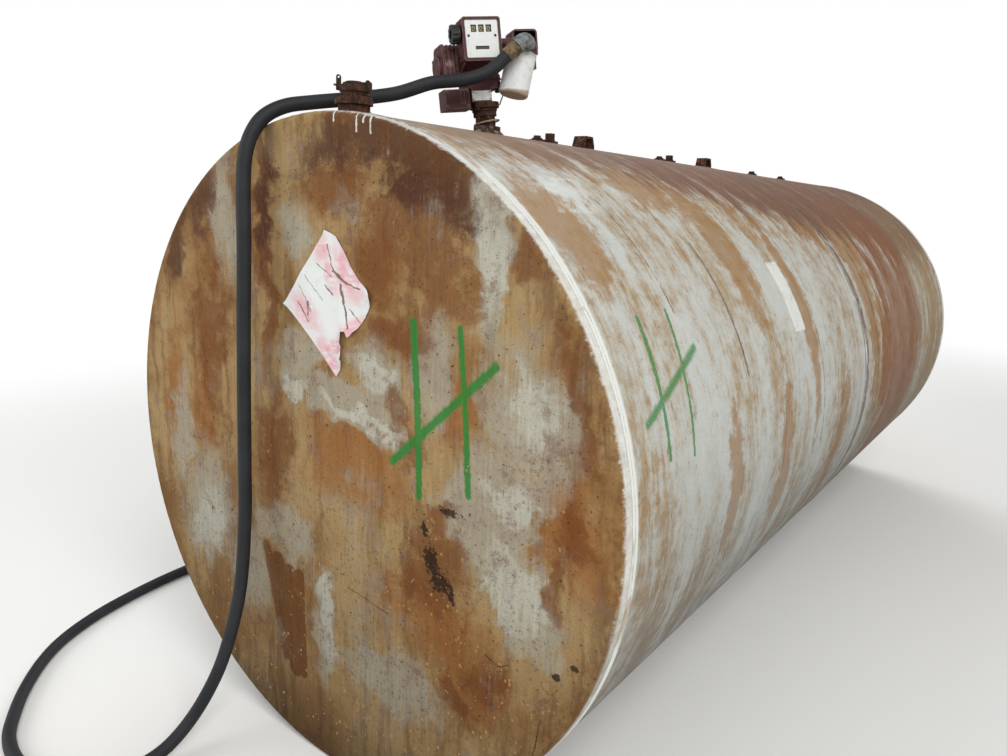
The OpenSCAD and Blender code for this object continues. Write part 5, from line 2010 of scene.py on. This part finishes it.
@dataclass
class Studio:
    """A pale floor, a white backdrop and plain soft light."""

    ambient: float = 0.46
    floor_size: float = 60.0
    floor_height: float = -0.0015
    white_from: Spot = (2.6, 5.5)
    lamps: tuple[tuple[str, Point, Point, float, float], ...] = (
        ("key", (5.5, -4.5, 6.5), (0.0, -0.3, 0.9), 5.0, 410.0),
        ("fill", (-4.5, -6.5, 3.5), (0.0, -1.5, 0.9), 5.0, 175.0),
        ("back", (-3.5, 6.0, 5.0), (0.0, 0.5, 1.0), 5.0, 215.0),
    )

    def _floor(self) -> None:
        """Builds the floor."""
        bm = bmesh.new()
        bmesh.ops.create_grid(bm, x_segments=1, y_segments=1, size=self.floor_size)
        bmesh.ops.translate(bm, vec=(0.0, 0.0, self.floor_height), verts=bm.verts[:])
        mesh = bpy.data.meshes.new("floor")
        bm.to_mesh(mesh)
        bm.free()
        mesh.materials.append(self._floor_paint())
        floor = bpy.data.objects.new("floor", mesh)
        bpy.context.scene.collection.objects.link(floor)
        floor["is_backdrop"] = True

    def _floor_paint(self) -> Material:
        """Builds a paint that is pale near the object and plain white far away.

        Returns:
            The paint's material.
        """
        g = Graph("floor_pale")
        x, y, _ = g.parts(g.place())
        reach = g.measured("LENGTH", g.vector(x * 0.9, y * 0.6))
        camera = Value(g, g.node("ShaderNodeLightPath").outputs["Is Camera Ray"])
        away = reach.fade(*self.white_from) * camera
        look = {"Base Color": Tone.FLOOR.linear(), "Roughness": 0.9, "Specular IOR Level": 0.1}
        pale = g.node("ShaderNodeBsdfPrincipled", None, look).outputs[0]
        white = g.node("ShaderNodeEmission", None, {"Color": WHITE, "Strength": 1.0}).outputs[0]
        mixed = g.node("ShaderNodeMixShader", None, {0: away, 1: pale, 2: white})
        g.close("ShaderNodeOutputMaterial", mixed)
        return g.material

    def _world(self) -> None:
        """Lights from all round, and shows white behind."""
        world = bpy.data.worlds.new("studio_world")
        bpy.context.scene.world = world
        g = Graph(world.name, world)
        rays = g.node("ShaderNodeLightPath").outputs
        seen = Value(g, rays["Is Camera Ray"]).most(Value(g, rays["Is Transmission Ray"]))
        inputs = {"Color": WHITE, "Strength": self.ambient}
        light = g.node("ShaderNodeBackground", None, inputs).outputs[0]
        white = g.node("ShaderNodeBackground", None, {"Color": WHITE, "Strength": 1.0}).outputs[0]
        mixed = g.node("ShaderNodeMixShader", None, {0: seen, 1: light, 2: white})
        g.close("ShaderNodeOutputWorld", mixed)

    def _lamp(self, name: str, at: Point, to: Point, size: float, power: float) -> None:
        """Hangs one soft lamp.

        Args:
            name: its name.
            at: where it hangs.
            to: what it points at.
            size: its width.
            power: its power in watts.
        """
        lamp = bpy.data.lights.new(name, "AREA")
        lamp.shape = "DISK"
        lamp.size = size
        lamp.energy = power
        holder = bpy.data.objects.new(name, lamp)
        holder.location = at
        holder.rotation_euler = (Vector(to) - Vector(at)).to_track_quat("-Z", "Y").to_euler()
        bpy.context.scene.collection.objects.link(holder)
        holder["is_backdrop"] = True

    def build(self) -> None:
        """Sets up the floor, the world and the lamps."""
        self._floor()
        self._world()
        for lamp in self.lamps:
            self._lamp(*lamp)
        bpy.context.scene.view_settings.view_transform = "Standard"
        LOG.info("studio with %d lamps", len(self.lamps))


@dataclass
class PhotoCamera:
    """A camera at the photograph's place and angle."""

    at: Point = (1.560, -3.375, 1.607)
    yaw: float = -0.6405
    pitch: float = 0.2178
    roll: float = 0.0344
    lens: float = 27.35

    def build(self) -> bpy.types.Object:
        """Sets up the camera.

        Returns:
            The camera.
        """
        forward = math.cos(self.pitch)
        x, y = math.sin(self.yaw) * forward, math.cos(self.yaw) * forward
        ahead = Vector((x, y, -math.sin(self.pitch)))
        level = Vector((math.cos(self.yaw), -math.sin(self.yaw), 0.0))
        over = level.cross(ahead)
        right = math.cos(self.roll) * level + math.sin(self.roll) * over
        up = -math.sin(self.roll) * level + math.cos(self.roll) * over
        lens = bpy.data.cameras.new("photo_camera")
        lens.lens = self.lens
        lens.sensor_width = 36.0
        lens.sensor_fit = "HORIZONTAL"
        lens.clip_end = 200.0
        camera = bpy.data.objects.new("photo_camera", lens)
        turned = Matrix((right, up, -ahead)).transposed().to_4x4()
        camera.matrix_world = Matrix.Translation(self.at) @ turned
        bpy.context.scene.collection.objects.link(camera)
        bpy.context.scene.camera = camera
        return camera


def note_size(when: str, sizes: dict[str, Any]) -> None:
    """Args:
        when: name of the moment.
        sizes: the bounds noted so far.
    """
    low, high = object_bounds()
    sizes[when] = [list(low), list(high)]


def main() -> None:
    """Builds and dresses the tank, piece by piece."""
    logging.basicConfig(level=logging.INFO, format="%(message)s")
    sizes: dict[str, Any] = {}
    note_size("after_load", sizes)
    PhotoCamera().build()
    nozzle = Nozzle()
    nozzle.dress()
    DeliveryHose().build(nozzle.build())
    kinds = (
        TankShell, FillFitting, CrownFittings, PumpStand, FuelPump, FlowMeter, OutletAndFilter
    )
    for kind in kinds:
        part = kind()
        part.dress()
        part.build()
    NozzleBoot().dress()
    Placard().build()
    Studio().build()
    note_size("before_finish", sizes)


if __name__ == "__main__":
    main()
